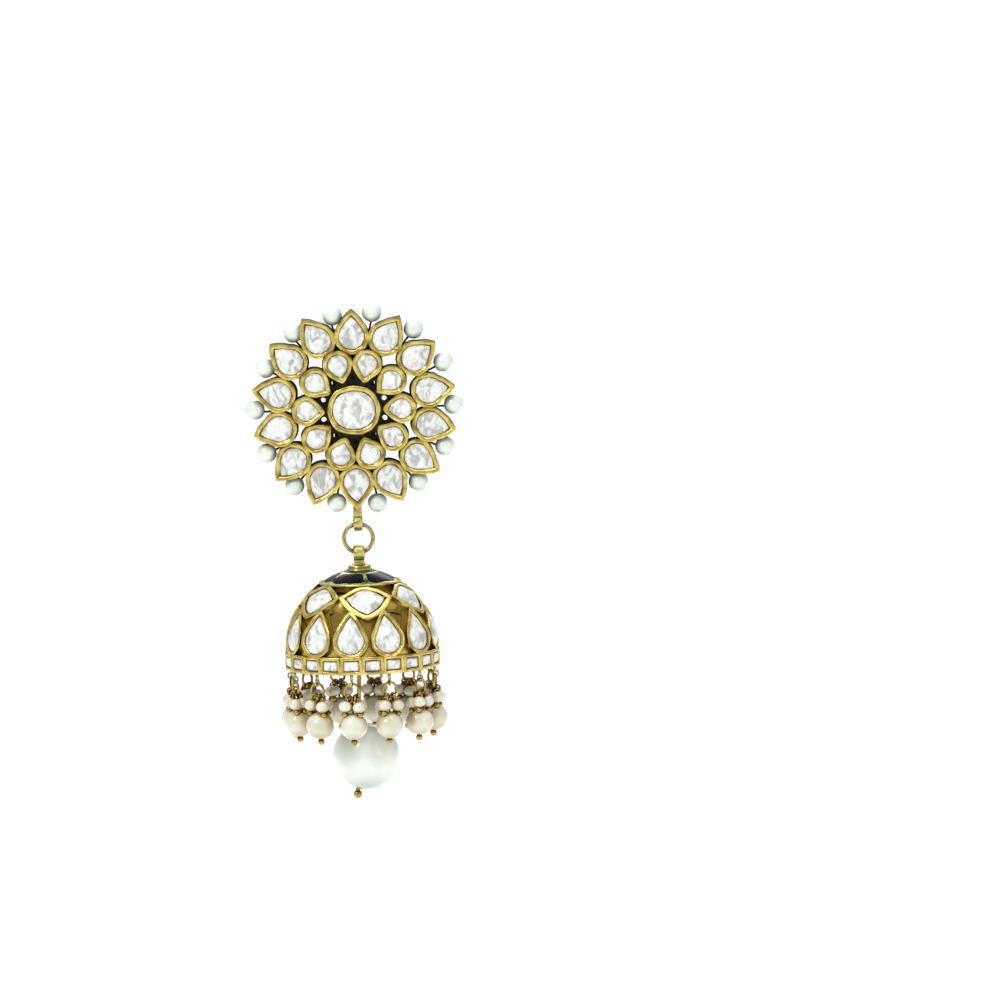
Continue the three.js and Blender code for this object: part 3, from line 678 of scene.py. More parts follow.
# The edge pearls: one small cultured pearl in each notch between two outer petals, threaded on a short end of
# the gold wire that is laced behind the petals.
edge_pearl_diameter = 3.2
edge_pearl_gap = 0.25
edge_wire_diameter = 0.36
edge_wire_height = 0.7
peg_in_petals = 0.4
notch = math.pi / len(outer_petals)
notch_reach = outer_width / 2 + edge_pearl_diameter / 2 + edge_pearl_gap
edge_radius = outer_ring_radius * math.cos(notch)
edge_radius += math.sqrt(notch_reach ** 2 - (outer_ring_radius * math.sin(notch)) ** 2)


def pearl_skin(name, tone, shadow, blush, close_bounce_and_shade, underside_shade):
    """Nacre: a satin body with a clear lustre and faint clouds of colour, a painted reflection and shade from
    what lies close to it, and painted shade underneath."""
    skin = new_finish(name, {
        "Subsurface Weight": 0.15,
        "Subsurface Radius": (1.0, 0.8, 0.6),
        "Subsurface Scale": 0.5 * metres,
        "Coat Weight": 0.9,
        "Coat Roughness": 0.1,
    })
    coordinates = shader_node(skin, "TexCoord", {})
    place = coordinates.outputs["Object"]
    cloud = clouds(skin, place, 260)["Fac"]
    body = ramp(skin, cloud, (0.34, shadow), (0.5, tone), (0.68, blush))
    # Painted reflection and shade: the near colour, where gold or other pearls lie close.
    close_bounce_and_shade_mask = remapped(skin, openness(skin, 4.0), 0.9, 0.4, 0, 0.9)
    with_close_bounce_and_shade = mixed(skin, close_bounce_and_shade_mask, body, (*close_bounce_and_shade, 1))
    # Painted shade on the underside, where the surface faces down.
    facing_up = part_of(skin, coordinates.outputs["Normal"], "Z")
    underside_shade_mask = remapped(skin, facing_up, -0.35, -1, 0, 0.85, "SMOOTHSTEP")
    growth = clouds(skin, place, 900)["Fac"]
    fill_inputs(skin, shader_of(skin), {
        "Base Color": mixed(skin, underside_shade_mask, with_close_bounce_and_shade, (*underside_shade, 1)),
        "Roughness": remapped(skin, cloud, 0, 1, 0.26, 0.42),
        "Normal": bumped(skin, growth, 0.1, 0.05),
    })
    return skin


cool_pearl = pearl_skin(
    "cool_pearl", tone=(0.68, 0.74, 0.67), shadow=(0.62, 0.69, 0.62), blush=(0.74, 0.77, 0.7),
    close_bounce_and_shade=(0.58, 0.61, 0.5), underside_shade=(0.48, 0.52, 0.42))


def grown_pearl(diameter, seed, uneven=0.03, stretch=1.0):
    """A pearl: nearly round, never quite."""
    bpy.ops.mesh.primitive_uv_sphere_add(segments=32, ring_count=20, radius=diameter / 2)
    pearl = bpy.context.object
    for corner in pearl.data.vertices:
        bulge = noise.noise(corner.co / diameter * 1.3 + Vector((seed, 0, 0)))
        corner.co *= 1 + uneven * bulge
        corner.co.z *= stretch
    return pearl


# How far each pearl has settled to the right and up on its wire, clockwise from the first notch.
pearl_shifts = (
    (-0.2, 0.05), (0.1, 0.2), (0.3, 0.25), (0.2, 0.2), (0.15, 0.4), (0.1, 0.3), (-0.25, 0.1),
    (0.2, 0.3), (-0.1, 0.2), (0, 0.15), (-0.1, 0.3), (0.25, 0.15), (0.5, 0.2), (0.5, -0.3),
)
edge_pearls = []
for i, (right, up) in enumerate(pearl_shifts):
    pearl = grown_pearl(edge_pearl_diameter, 7.3 * i)
    place = Matrix.Translation((right, up, 0)) @ Matrix.Rotation(-notch * (2 * i + 1), 4, "Z")
    place = place @ Matrix.Translation((0, edge_radius, edge_wire_height))
    edge_pearls.append(moved(pearl, onto_stud @ place))
edge_pearl_string = joined(edge_pearls, "edge_pearl_string")
dressed(edge_pearl_string, "edge_pearl_string", cool_pearl, "stud", "pearl", "edge_pearls")

pegs = []
for i in range(len(outer_petals)):
    inner_end = outer_ring_radius * math.cos(notch) - peg_in_petals
    length = edge_radius - inner_end
    bpy.ops.mesh.primitive_cylinder_add(vertices=10, radius=edge_wire_diameter / 2, depth=length)
    turn = Matrix.Rotation(-notch * (2 * i + 1), 4, "Z")
    lie = Matrix.Translation((0, inner_end + length / 2, edge_wire_height)) @ turned(90, "X")
    pegs.append(moved(bpy.context.object, onto_stud @ turn @ lie))
pearl_pegs = joined(pegs, "edge_pearl_pegs")
dressed(pearl_pegs, "edge_pearl_pegs", setting_gold, "stud", "gold", "edge_pearls")


# The ear post: a plain gold wire with a rounded end, soldered to a round foot on the back bar.
post_diameter = 1.0
post_length = 11.0
post_foot_diameter = 3.4
post_foot_thickness = 0.5
post_rounding = 0.16
bpy.ops.mesh.primitive_cylinder_add(vertices=32, radius=post_foot_diameter / 2, depth=post_foot_thickness)
post_foot = moved(bpy.context.object, Matrix.Translation((0, 0, post_foot_thickness / 2)))
bpy.ops.mesh.primitive_cylinder_add(vertices=24, radius=post_diameter / 2, depth=post_length)
post_wire = moved(bpy.context.object, Matrix.Translation((0, 0, post_length / 2)))
ear_post = joined([post_foot, post_wire], "ear_post_wire")
rounded(ear_post, post_rounding)
moved(ear_post, turned(-90, "X"))
dressed(ear_post, "ear_post_wire", yellow_gold, "stud", "gold", "ear_post")


# The bails and the ring between them. Each bail is a strip of paler gold bent over into an eye, its ends
# soldered together, and the ring is a closed loop of darker, worn wire.
ring_outer_diameter = 5.27
ring_wire_diameter = 0.65
ring_radius = (ring_outer_diameter - ring_wire_diameter) / 2
ring_box_low, ring_box_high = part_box("hanging_ring")
ring_middle = (ring_box_low + ring_box_high) / 2 / metres
bail_hole_diameter = 1.4
bail_wall = 0.6
bail_chamfer = 0.12
bail_rounding = 0.42
bail_edge_rounding = 0.2
bail_shank_depth = 1.5
stud_bail_width = 1.55
bell_bail_width = 1.85
stud_bail_length = 2.9
ring_below_bail_hole = 0.141
pale_gold = gold_metal(
    "pale_gold", tone=(0.56, 0.52, 0.2), painted_shade=(0.2, 0.17, 0.045), roughness=0.3, wear=0.3)
worn_gold = gold_metal(
    "worn_gold", tone=(0.45, 0.34, 0.14), painted_shade=(0.12, 0.08, 0.02), roughness=0.26, wear=0.3)


def spun(profile, name, steps=96):
    """Spins a closed outline of radius and height round the Z axis."""
    mesh = bpy.data.meshes.new(name)
    edges = [(i, (i + 1) % len(profile)) for i in range(len(profile))]
    mesh.from_pydata([(r, 0, z) for r, z in profile], edges, [])
    piece = bpy.data.objects.new(name, mesh)
    bpy.context.collection.objects.link(piece)
    edit_whole(piece)
    bpy.ops.mesh.spin(steps=steps, angle=2 * math.pi, center=(0, 0, 0), axis=(0, 0, 1))
    bpy.ops.mesh.select_all(action="SELECT")
    bpy.ops.mesh.remove_doubles(threshold=0.001)
    bpy.ops.mesh.normals_make_consistent(inside=False)
    end_editing()
    return piece


def strip_bail(width, shank_to, flare):
    """A strip bent round an eye along X. Its narrower shank runs to a height, and may flare out there."""
    outer = bail_hole_diameter / 2 + bail_wall
    inner = bail_hole_diameter / 2
    half = width / 2
    soft = bail_rounding
    corner = [(outer - soft + soft * math.cos(a), soft * math.sin(a)) for a in (1.57, 1.1, 0.6, 0.0)]
    profile = [(inner + bail_chamfer, half), *((r, half - soft + rise) for r, rise in corner)]
    profile += [(r, -z) for r, z in reversed(profile)]
    profile = [(inner, half - bail_chamfer), *profile, (inner, bail_chamfer - half)]
    eye = moved(spun(profile, "eye", 40), turned(90, "Y"))
    way = math.copysign(1, shank_to)
    start = 0.8 * outer
    length = abs(shank_to) - start
    bpy.ops.mesh.primitive_cube_add(size=1)
    shank = bpy.context.object
    select_only(shank)
    bpy.ops.object.mode_set(mode="EDIT")
    bpy.ops.mesh.subdivide(number_cuts=7)
    end_editing()
    for point in shank.data.vertices:
        along = point.co.z + 0.5
        spread = 1 + flare * max(0, along - 0.55) ** 2 / 0.2
        point.co.x *= (0.84 + 0.12 * (1 - along) ** 2) * width * spread
        point.co.y *= bail_shank_depth * spread
        point.co.z = way * (start + along * length)
    if way < 0:
        edit_whole(shank)
        bpy.ops.mesh.normals_make_consistent(inside=False)
        end_editing()
    rounded(shank, width=bail_edge_rounding, least_angle=60)
    return joined([eye, shank], "bail")


stud_bail_hole = ring_middle.z + ring_radius + ring_below_bail_hole
stud_bail = strip_bail(stud_bail_width, stud_bail_length, 0)
hand_worked(stud_bail, amount=0.05, grain=1.0)
moved(stud_bail, Matrix.Translation((0, ring_middle.y, stud_bail_hole)))
dressed(stud_bail, "stud_bail", pale_gold, "stud", "gold", "stud_frame")

bpy.ops.mesh.primitive_torus_add(
    major_radius=ring_radius, minor_radius=ring_wire_diameter / 2, major_segments=72, minor_segments=16)
hanging_loop = moved(bpy.context.object, turned(90, "X"))
hand_worked(hanging_loop, amount=0.03, grain=1.5)
moved(hanging_loop, Matrix.Translation(ring_middle))
dressed(hanging_loop, "hanging_loop", worn_gold, "ring", "antique_gold", "hanging_ring")


# The bell's settings: six wide settings round its shoulder and twelve pear-shaped ones under them, bent to
# the round of the bell and soldered where they touch, so that light comes through between them.
bell_radius = 12.3
bell_wall = 1.3
bell_rim = 0.62
bell_turn = 6.5
solder_lap = 0.06
band_top = -0.25
shoulder_count = 6
shoulder_lift = 46.0
shoulder_rise = 2.8
shoulder_dip = 4.05
shoulder_tip_rim = 1.4
shoulder_foot_rim = 1.05
pear_width = 5.8
pear_overlap = 0.4
pear_lap = 0.25
pear_tip_rim = 1.1
bell_stone_depth = 0.38
bell_pocket_depth = 0.4
bell_below_ring = 17.559
shoulder_rim = 0.72
pear_lift = math.degrees((band_top - pear_lap + pear_width / 2) / bell_radius)
shoulder_drop = 0.67
bell_middle = Vector((0, ring_middle.y, ring_middle.z - bell_below_ring))
bell_inside = bell_radius - bell_wall
pear_turn = 360 / shoulder_count / 2
pear_reach = math.radians(shoulder_lift - pear_lift) * bell_radius
pear_point = pear_reach + pear_overlap - shoulder_drop * shoulder_dip
across_shoulder = math.radians(2 * pear_turn) * bell_radius * math.cos(math.radians(shoulder_lift))
shoulder_width = across_shoulder + 2 * solder_lap
shoulder_turns = [bell_turn + 2 * pear_turn * i for i in range(shoulder_count)]
pear_turns = [turn + side * pear_turn / 2 for turn in shoulder_turns for side in (-1, 1)]
onto_bell = Matrix.Translation(bell_middle)


def bent_round(piece, turn, lift):
    """Bends a flat piece to the round of the bell, at a turn from the front and a lift in degrees."""
    across = bell_radius * math.cos(math.radians(lift))
    for corner in piece.data.vertices:
        around = math.radians(turn) + corner.co.x / across
        above = math.radians(lift) + corner.co.y / bell_radius
        far = bell_inside + corner.co.z
        corner.co = (
            far * math.sin(around) * math.cos(above),
            -far * math.cos(around) * math.cos(above),
            far * math.sin(above),
        )
    piece.data.update()
    return piece


def bent_copies(piece, turns, lift):
    return [bent_round(copy_of(piece, Matrix.Identity(4)), turn, lift) for turn in turns]


def shoulder_blank(width, rise, dip, corners=44):
    """Pointed at both sides, with an arched upper edge and a deeper lower one."""
    bpy.ops.mesh.primitive_circle_add(vertices=corners, radius=1, fill_type="NGON")
    blank = bpy.context.object
    for corner in blank.data.vertices:
        out = corner.co.x
        arch = 1 - abs(out) ** 1.75
        keel = 1 - abs(out) ** 1.45
        corner.co = (out * width / 2, arch * rise if corner.co.y > 0 else -keel * dip, 0)
    return blank


shoulder_setting = folded_setting(
    shoulder_blank(shoulder_width, shoulder_rise, shoulder_dip), bell_wall, shoulder_rim, bell_pocket_depth,
    soft=0.16, burnish=0.12)
pear_setting = folded_setting(
    petal_blank(pear_width, pear_point), bell_wall, bell_rim, bell_pocket_depth, soft=0.16, burnish=0.12)
shell = bent_copies(shoulder_setting, shoulder_turns, shoulder_lift)
shell += bent_copies(pear_setting, pear_turns, pear_lift)
removed(shoulder_setting)
removed(pear_setting)

# Each setting's back is a shallow gold dish, wider than the setting, so the dishes nearly close the shell.
dish_depth = 0.5
dish_margin = 0.7
dish_lift = 0.35
solder_radius = 2.1
solder_flatness = 0.42


def setting_dish(blank, margin):
    edit_whole(blank)
    extrude(-dish_depth)
    bpy.ops.mesh.inset(thickness=margin, depth=0)
    end_editing()
    for corner in blank.data.vertices:
        corner.co.z += dish_lift
    return blank


pear_dish = setting_dish(petal_blank(pear_width + 0.8, pear_point + 1.5, 24), dish_margin)
shoulder_dish = setting_dish(
    shoulder_blank(shoulder_width - 0.4, shoulder_rise + 0.6, shoulder_dip + 0.9, 28), dish_margin)
shell += bent_copies(shoulder_dish, shoulder_turns, shoulder_lift)
shell += bent_copies(pear_dish, pear_turns, pear_lift)
removed(pear_dish)
removed(shoulder_dish)

# A flat drop of solder covers each place where the tips of two shoulder settings meet inside.
for turn in shoulder_turns:
    bpy.ops.mesh.primitive_uv_sphere_add(segments=20, ring_count=12, radius=solder_radius)
    flat = Matrix.Translation((0, 0, -0.15)) @ Matrix.Diagonal((1, 1, solder_flatness, 1))
    solder = moved(bpy.context.object, flat)
    shell.append(bent_round(solder, turn + 180 / shoulder_count, shoulder_lift))
bell_settings = joined(shell, "bell_settings")
hand_worked(bell_settings, amount=0.12, grain=1.3, seed=5.0)
moved(bell_settings, onto_bell)


def gold_shaded_inside(name, tone, painted_shade):
    """The bell's gold, with painted shade darker and warmer inside it and on the walls of its settings."""
    metal = gold_metal(name, tone, painted_shade, roughness=0.24, wear=0.35)
    place = shader_node(metal, "TexCoord", {}).outputs["Object"]
    middle = bell_middle * metres
    distance = shader_node(metal, "VectorMath", {0: place, 1: middle}, operation="DISTANCE").outputs["Value"]
    # Painted shade: the gold deepens inwards, from just under the bell's outside.
    inside_shade_mask = remapped(metal, distance, (bell_radius - 0.35) * metres, (bell_radius - 0.9) * metres)
    darkened_for_shade_and_enamel(metal, inside_shade_mask, deep=(0.36, 0.24, 0.045), dulling=0.35)
    return metal


bell_gold = gold_shaded_inside("bell_gold", tone=(0.74, 0.58, 0.17), painted_shade=(0.18, 0.1, 0.012))
dressed(bell_settings, "bell_settings", bell_gold, "bell", "gold", "bell_frame")

shoulder_stone = slice_of_stone(
    shoulder_blank(
        shoulder_width - 2 * shoulder_tip_rim,
        shoulder_rise - bell_rim,
        shoulder_dip - shoulder_foot_rim,
        16),
    bell_wall - bell_stone_depth, bell_wall, facet_turn=9.0)
for i, stone in enumerate(bent_copies(shoulder_stone, shoulder_turns, shoulder_lift)):
    moved(stone, onto_bell)
    dressed(stone, f"shoulder_polki_{i + 1:02d}", polki, "bell", "polki_stone", f"marquise_stone_{i + 1:02d}")
    faceted(stone)
removed(shoulder_stone)

pear_stone = slice_of_stone(
    petal_blank(pear_width - 2 * (bell_rim + stone_gap), pear_point - pear_tip_rim, stone_corners),
    bell_wall - bell_stone_depth, bell_wall, facet_turn=12.0)
for i, stone in enumerate(bent_copies(pear_stone, pear_turns, pear_lift)):
    moved(stone, onto_bell)
    dressed(stone, f"pear_polki_{i + 1:02d}", polki, "bell", "polki_stone", "bell_frame")
    faceted(stone)
removed(pear_stone)


# The band: a straight strip round the bell's lower edge, divided by bars into oblong settings for small
# stones with cut corners.
band_height = 2.85
band_proud = 0.1
band_stone_count = 22
band_stone_width = 2.6
band_stone_height = 1.65
band_seat_depth = 0.35
band_stone_depth = 0.33
band_corner_cut = 0.42
band_rounding = 0.2
band_rim_overlap = 0.08
band_outside = bell_radius + band_proud
band_bottom = band_top - band_height
band_lift = (band_top + band_bottom) / 2
facet = 2 * band_outside * math.tan(math.pi / band_stone_count)


def band_place(i):
    """The middle of one flat of the band: X along the flat, Y up and Z outwards."""
    turn = Matrix.Rotation(2 * math.pi * (i + 0.5) / band_stone_count, 4, "Z")
    stand = Matrix.Translation((0, -bell_inside, band_lift)) @ turned(90, "X")
    return turn @ stand


def oblong(width, height, corner_cut):
    """A flat oblong with its corners cut off."""
    bpy.ops.mesh.primitive_plane_add(size=1)
    plate = moved(bpy.context.object, Matrix.Diagonal((width, height, 1, 1)))
    if corner_cut:
        edit_whole(plate)
        bpy.ops.mesh.bevel(offset=corner_cut, segments=2, affect="VERTICES")
        end_editing()
    return plate


band_wall = band_outside - bell_inside
cell = oblong(facet + 0.05, band_height, 0)
edit_whole(cell)
extrude(band_wall)
bpy.ops.mesh.inset(thickness=(band_height - band_stone_height) / 2 - band_rim_overlap, depth=0)
extrude(-band_seat_depth)
end_editing()
rounded(cell, band_rounding)
band_cells = [copy_of(cell, band_place(i)) for i in range(band_stone_count)]
removed(cell)
band = joined(band_cells, "band_settings")
hand_worked(band, amount=0.09, grain=1.2, seed=11.0)
moved(band, onto_bell)
dressed(band, "band_settings", yellow_gold, "bell", "gold", "bell_frame")

band_blank = oblong(band_stone_width, band_stone_height, band_corner_cut)
band_stone = slice_of_stone(band_blank, band_wall - band_stone_depth, band_wall, facet_turn=15.0)
band_stones = [copy_of(band_stone, band_place(i)) for i in range(band_stone_count)]
removed(band_stone)
band_polki = joined(band_stones, "band_polki")
moved(band_polki, onto_bell)
dressed(band_polki, "band_polki", polki, "bell", "polki_stone", "bell_frame")
faceted(band_polki)


# The cap: a domed gold plate with a round collar and the bell's bail on top. Its enamel is melted glass laid
# in five hollows: navy petals with a lobed lower edge, a green leaf between each two, and a green ring.
collar_radius = 2.0
collar_top = 13.35
collar_height = 0.9
cap_edge = 58.4
cap_shoulder = (4.2, 11.68)
cap_foot = (bell_radius * math.cos(math.radians(cap_edge)), bell_radius * math.sin(math.radians(cap_edge)))
cap_collar = (collar_radius, collar_top - collar_height)
bell_bail_above_collar = 1.84
enamel_height = 0.09
navy_petals = 5
navy_turn = 12.0


def cap_height(radius):
    """The height of the cap's outside at a distance from its middle: a curve through three points."""
    (r0, z0), (r1, z1), (r2, z2) = cap_foot, cap_shoulder, cap_collar
    a = (radius - r1) * (radius - r2) / ((r0 - r1) * (r0 - r2))
    b = (radius - r0) * (radius - r2) / ((r1 - r0) * (r1 - r2))
    c = (radius - r0) * (radius - r1) / ((r2 - r0) * (r2 - r1))
    return a * z0 + b * z1 + c * z2


radii = [cap_foot[0] + (0.6 - cap_foot[0]) * i / 14 for i in range(15)]
outside = [(r, cap_height(r)) for r in radii]
inside = [(0.93 * r, cap_height(r) - 0.75 * bell_wall) for r in reversed(radii)]
cap_plate = spun(outside + inside, "cap_plate")
rim_wire_radius = 0.2
rim_line = [
    (cap_foot[0] - 0.05 + rim_wire_radius * math.cos(2 * math.pi * i / 12),
     cap_foot[1] + 0.1 + rim_wire_radius * math.sin(2 * math.pi * i / 12)) for i in range(12)
]
cap_rim = spun(rim_line, "cap_rim")
cap_gold = joined([cap_plate, cap_rim], "cap_gold")
hand_worked(cap_gold, amount=0.05, grain=1.6)
moved(cap_gold, onto_bell)
cap_ground = gold_shaded_inside("cap_ground", tone=(0.56, 0.5, 0.17), painted_shade=(0.2, 0.16, 0.04))
dressed(cap_gold, "cap_gold", cap_ground, "bell", "gold", "bell_frame")

foot = collar_top - collar_height
collar_line = [
    (0, foot - 0.6),
    (collar_radius - 0.15, foot - 0.6),
    (collar_radius, foot - 0.12),
    (collar_radius + 0.08, foot + 0.1),
    (collar_radius, foot + 0.3),
    (collar_radius - 0.2, foot + 0.38),
    (collar_radius - 0.22, foot + 0.46),
    (collar_radius - 0.14, foot + 0.6),
    (collar_radius - 0.2, foot + 0.76),
    (collar_radius - 0.5, collar_top - 0.02),
    (0.5 * collar_radius, collar_top),
    (0, collar_top),
]
collar_half = spun(collar_line, "collar", 64)
bell_bail = strip_bail(bell_bail_width, -bell_bail_above_collar - 0.1, 0.55)
moved(bell_bail, Matrix.Translation((0, 0, collar_top + bell_bail_above_collar)))
collar = joined([collar_half, bell_bail], "bell_bail_and_collar")
hand_worked(collar, amount=0.05, grain=1.0, seed=3.0)
moved(collar, onto_bell)
dressed(collar, "bell_bail_and_collar", pale_gold, "bell", "gold", "bell_frame")


def enamel_glass(name, tone, deep):
    """Glossy enamel, a little deeper in colour where it lies thick."""
    glass = new_finish(name, {"Roughness": 0.2, "Specular IOR Level": 0.06})
    place = shader_node(glass, "TexCoord", {}).outputs["Object"]
    pool = clouds(glass, place, 520)["Fac"]
    fill_inputs(glass, shader_of(glass), {
        "Base Color": ramp(glass, pool, (0.35, deep), (0.7, tone)),
        "Normal": bumped(glass, pool, 0.12, 0.08),
    })
    return glass


navy = enamel_glass("navy_enamel", tone=(0.001, 0.003, 0.016), deep=(0.0005, 0.001, 0.005))
green = enamel_glass("green_enamel", tone=(0.0, 0.1, 0.025), deep=(0.0, 0.05, 0.012))


def enamel_patch(low_edge, high_edge, half_turn, columns, rows):
    """A patch of enamel on the cap, between two edges given as radii at each share of its width."""
    bpy.ops.mesh.primitive_grid_add(x_subdivisions=columns, y_subdivisions=rows, size=2)
    patch = bpy.context.object
    for corner in patch.data.vertices:
        share = corner.co.x
        climb = (corner.co.y + 1) / 2
        radius = low_edge(share) + (high_edge(share) - low_edge(share)) * climb
        edge = max(abs(share), abs(2 * climb - 1))
        dome = enamel_height * math.sqrt(max(0.0, 1 - edge ** 6)) - 0.03
        around = math.radians(half_turn) * share
        corner.co = (radius * math.sin(around), -radius * math.cos(around), cap_height(radius) + dome)
    patch.data.update()
    glass_body = patch.modifiers.new("glass_body", "SOLIDIFY")
    glass_body.thickness = 0.2
    glass_body.offset = -1
    apply_modifiers(patch)
    return patch


def lobed_low_edge(share):
    lobes = 0.3 * abs(math.sin(math.pi * share)) - 0.1
    return 5.75 + lobes - 0.55 * share ** 10


navy_patches = []
for i in range(navy_petals):
    middle = navy_turn + 360 / navy_petals * (i + 0.5)
    patch = enamel_patch(lobed_low_edge, lambda share: 2.9 + 0.3 * share ** 6, 34.0, 36, 12)
    navy_patches.append(moved(patch, turned(middle)))
navy_enamel = moved(joined(navy_patches, "navy_enamel"), onto_bell)
dressed(navy_enamel, "navy_petals", navy, "bell", "enamel", "bell_frame")

leaves = []
for i in range(navy_petals):
    leaf = enamel_patch(
        lambda share: 5.2 + 0.55 * math.sqrt(max(0, 1 - share ** 2)),
        lambda share: 5.2 - 0.95 * (1 - abs(share)) ** 1.2, 4.8, 12, 10)
    leaves.append(moved(leaf, turned(navy_turn + 360 / navy_petals * i)))
for i in range(8):
    arc = enamel_patch(lambda share: 2.75, lambda share: 2.15, 22.6, 12, 6)
    leaves.append(moved(arc, turned(45 * i)))
green_enamel = moved(joined(leaves, "green_leaves"), onto_bell)
dressed(green_enamel, "green_leaves", green, "bell", "enamel", "bell_frame")


# The fringe: under each pear setting a strip loop holds a ring, and the ring carries one pearl on a headed
# wire and four seed pearls round it, each on its own short wire with a ball at its end.
loop_reach = 1.35
loop_hole_diameter = 0.8
fringe_radius = (band_outside + bell_inside) / 2
fringe_wire = 0.42
fringe_ring_radius = (2.85 - fringe_wire) / 2
loop_hole = band_bottom - loop_reach
fringe_ring_middle = loop_hole - (loop_hole_diameter - fringe_wire) / 2 + 0.1 - fringe_ring_radius
fringe_ring_foot = fringe_ring_middle - fringe_ring_radius
fringe_pearl_diameter = 4.4
fringe_stem = 2.25
fringe_pearl_middle = fringe_ring_foot - fringe_stem - fringe_pearl_diameter / 2
fringe_ball_diameter = 1.06
seed_width = 2.15
seed_height = 1.85
seed_ball = 1.0
seed_wire = 0.34
seed_drop = 1.3
seed_lean = 0.12
seed_out = 1.25
hang_in = 3.5
fringe_pin = 0.36
fringe_ball_middle = fringe_pearl_middle - fringe_pearl_diameter / 2 - 0.4
small_loop = (0.48, 0.3)
upper_seed_loop = (0.5, 0.28)
lower_seed_loop = (0.42, 0.26)
warm_pearl = pearl_skin(
    "warm_pearl", tone=(0.61, 0.61, 0.49), shadow=(0.55, 0.53, 0.38), blush=(0.68, 0.69, 0.6),
    close_bounce_and_shade=(0.44, 0.29, 0.06), underside_shade=(0.36, 0.26, 0.09))
fringe_gold = gold_metal(
    "fringe_gold", tone=(0.5, 0.34, 0.09), painted_shade=(0.09, 0.05, 0.01), roughness=0.22, wear=0.2)


def ball(diameter, place, segments=14, rings=10):
    bpy.ops.mesh.primitive_uv_sphere_add(segments=segments, ring_count=rings, radius=diameter / 2)
    return moved(bpy.context.object, Matrix.Translation(place))


def wire_between(start, end, diameter, sides=8):
    start = Vector(start)
    end = Vector(end)
    along = end - start
    bpy.ops.mesh.primitive_cylinder_add(vertices=sides, radius=diameter / 2, depth=along.length)
    turn = along.to_track_quat("Z", "Y").to_matrix().to_4x4()
    return moved(bpy.context.object, Matrix.Translation((start + end) / 2) @ turn)


def wire_loop(radius, diameter, place, turn, major=24, minor=8):
    bpy.ops.mesh.primitive_torus_add(
        major_radius=radius, minor_radius=diameter / 2, major_segments=major, minor_segments=minor)
    stand = turned(turn) @ turned(90, "X")
    return moved(bpy.context.object, Matrix.Translation(place) @ stand)


# The seeds' places round a drop: their turn about its wire, and how far each sits above the others.
seeds = ((28, 0.0), (152, 0.15), (208, -0.1), (332, 0.1))

for i, turn in enumerate(pear_turns):
    swing = 9 * noise.noise(Vector((i * 3.1, 0, 0)))
    hook = Matrix.Translation((0, -fringe_radius, loop_hole))
    sway = turned(hang_in + 0.2 * swing, "X")
    sway = sway @ turned(0.3 * swing, "Y")
    spin = turned(turn) @ hook @ sway @ Matrix.Translation((0, 0, -loop_hole))
    gold_parts = [
        wire_loop(fringe_ring_radius, fringe_wire, (0, 0, fringe_ring_middle), swing),
        wire_loop(*small_loop, (0, 0, fringe_ring_foot - 0.2), 90 + swing),
        wire_between((0, 0, fringe_ring_foot - 0.6), (0, 0, fringe_pearl_middle), fringe_pin),
        ball(fringe_ball_diameter, (0, 0, fringe_ball_middle)),
    ]
    main_pearl = grown_pearl(fringe_pearl_diameter, 4.1 * i, 0.04)
    pearl_parts = [moved(main_pearl, Matrix.Translation((0, 0, fringe_pearl_middle)))]
    for around, rise in seeds:
        angle = math.radians(around + 14 * noise.noise(Vector((i * 1.7, around, 0))))
        way = Vector((math.cos(angle), -math.sin(angle), 0))
        top = Vector((0.35 * way.x, 0.35 * way.y, fringe_ring_foot + 0.25))
        seed_middle = Vector((seed_out * way.x, seed_out * way.y, fringe_ring_foot - seed_drop + rise))
        lean = (seed_lean * way - Vector((0, 0, 1))).normalized()
        seed = grown_pearl(seed_width, 2.3 * i + around, 0.05, seed_height / seed_width)
        tilt = lean.to_track_quat("Z", "Y").to_matrix().to_4x4()
        pearl_parts.append(moved(seed, Matrix.Translation(seed_middle) @ tilt))
        seed_top = seed_middle - lean * 0.5 * seed_height
        end = seed_middle + lean * (seed_height / 2 + 0.35)
        gold_parts += [
            wire_between(seed_top, end, seed_wire, 6),
            wire_between(top, seed_top, seed_wire, 6),
            ball(seed_ball, end),
            wire_loop(*upper_seed_loop, top + 0.25 * way - Vector((0, 0, 0.1)), around + 60, 14, 6),
            wire_loop(*lower_seed_loop, top + 0.65 * way - Vector((0, 0, 0.55)), around - 30, 14, 6),
        ]
    drop_gold = moved(joined(gold_parts, "drop_gold"), onto_bell @ spin)
    drop_pearls = moved(joined(pearl_parts, "drop_pearls"), onto_bell @ spin)
    node = f"fringe_drop_{i + 1:02d}"
    dressed(drop_gold, f"fringe_wire_{i + 1:02d}", fringe_gold, "bell", "gold", node)
    dressed(drop_pearls, f"fringe_pearls_{i + 1:02d}", warm_pearl, "bell", "pearl", node)

pegs = []
for turn in pear_turns:
    spin = turned(turn) @ Matrix.Translation((0, -fringe_radius, 0))
    peg = wire_loop(0.52, 0.26, (0, 0, loop_hole), 90, 20, 8)
    strip = ball(1, (0, 0, 0), 12, 8)
    strip_middle = Matrix.Translation((0, 0, (band_bottom + loop_hole + 0.4) / 2))
    strip.data.transform(strip_middle @ Matrix.Diagonal((0.62, 0.5, 1.5, 1)))
    pegs += [moved(peg, spin), moved(strip, spin)]
fringe_pegs = moved(joined(pegs, "fringe_pegs"), onto_bell)
dressed(fringe_pegs, "fringe_pegs", pale_gold, "bell", "gold", "bell_frame")


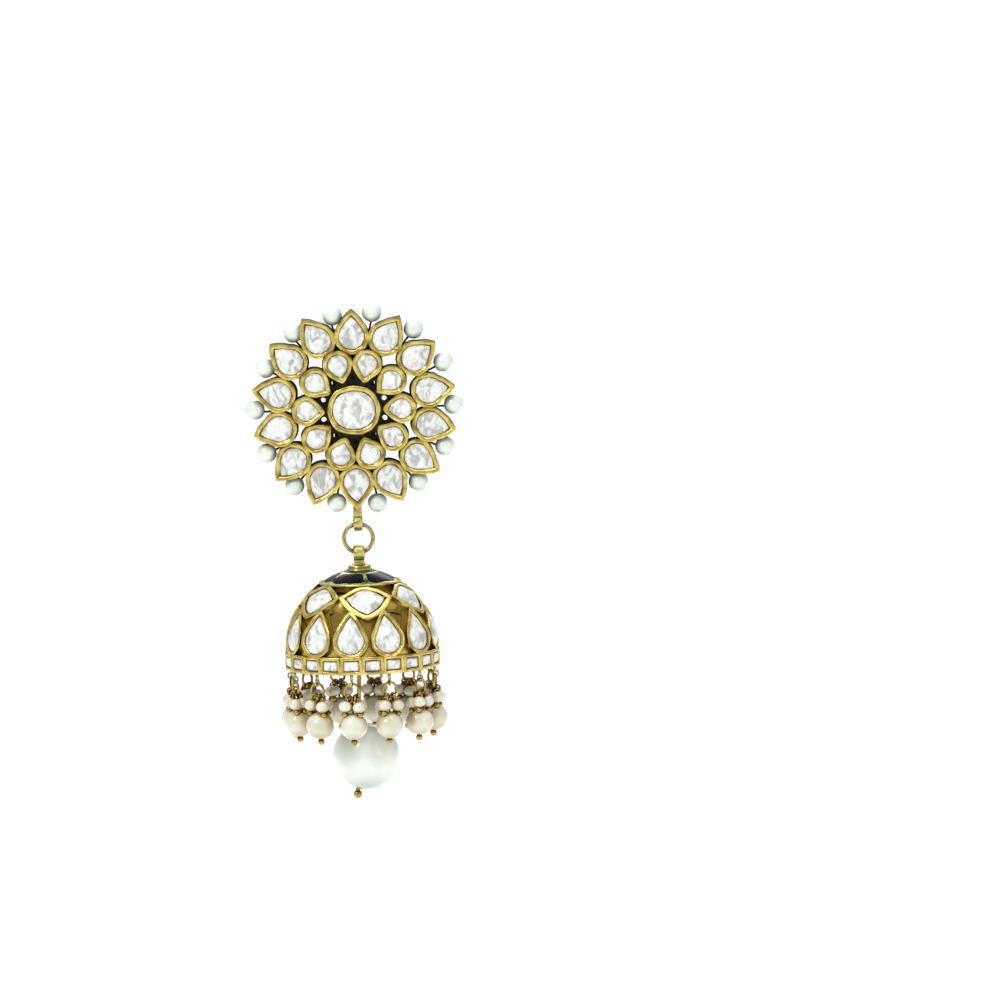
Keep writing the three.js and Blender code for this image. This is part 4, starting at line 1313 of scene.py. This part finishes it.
# The large pearl: a heavy, slightly pear-shaped baroque pearl on a headed gold pin. The pin hooks into an eye
# under the bell's crown, and is drilled off the pearl's middle, so it hangs a little aslant.
eye_radius = 1.1
eye_wire = 0.5
drop_pearl_diameter = 10.8
drop_offset = 1.25
drop_pin_diameter = 0.7
drop_ball = 1.36
drop_below_bell = 17.95
eye_height = collar_top - collar_height - bell_wall / 2 - eye_radius + eye_wire / 2 - solder_overlap
pivot = eye_height - eye_radius
drop_length = pivot + drop_below_bell
drop_lean = math.atan2(drop_offset, drop_length)
along_pin = drop_length / math.cos(drop_lean) - drop_offset * math.tan(drop_lean)
hang = onto_bell @ Matrix.Translation((0, 0, pivot)) @ Matrix.Rotation(drop_lean, 4, "Y")
drop_pearl_skin = pearl_skin(
    "large_pearl", tone=(0.72, 0.76, 0.69), shadow=(0.68, 0.73, 0.66), blush=(0.78, 0.78, 0.71),
    close_bounce_and_shade=(0.62, 0.45, 0.2), underside_shade=(0.22, 0.27, 0.21))

crown_eye = wire_loop(eye_radius, eye_wire, (0, 0, eye_height), 90, 32, 10)
dressed(moved(crown_eye, onto_bell), "crown_eye", yellow_gold, "bell", "gold", "bell_frame")

loop_middle = eye_wire + 0.1 - eye_radius
pearl_foot = math.sqrt((drop_pearl_diameter / 2) ** 2 - drop_offset ** 2)
ball_middle = -along_pin - pearl_foot - 0.42 * drop_ball
pin = joined([
    wire_loop(eye_radius, eye_wire, (0, 0, loop_middle), 0, 32, 10),
    wire_between((0, 0, loop_middle - eye_radius), (0, 0, ball_middle), drop_pin_diameter, 12),
    ball(drop_ball, (0, 0, ball_middle), 24, 16),
], "drop_pin_wire")
dressed(moved(pin, hang), "drop_pin_wire", fringe_gold, "pearl", "gold", "drop_pin")

large_pearl = grown_pearl(drop_pearl_diameter, 21.0, 0.03)
select_only(large_pearl)
round_off = large_pearl.modifiers.new("round_off", "SUBSURF")
round_off.levels = 1
round_off.render_levels = 1
apply_modifiers(large_pearl)
for corner in large_pearl.data.vertices:
    up_share = corner.co.z / drop_pearl_diameter * 2
    side_share = corner.co.x / drop_pearl_diameter * 2
    narrowing = 1 - 0.035 * max(0, -up_share) + 0.012 * max(0, up_share)
    corner.co.x *= narrowing + 0.02 * up_share * side_share
    corner.co.y *= narrowing
moved(large_pearl, hang @ Matrix.Translation((drop_offset, 0, -along_pin + 0.3)))
dressed(large_pearl, "large_pearl", drop_pearl_skin, "pearl", "pearl", "drop_pearl")
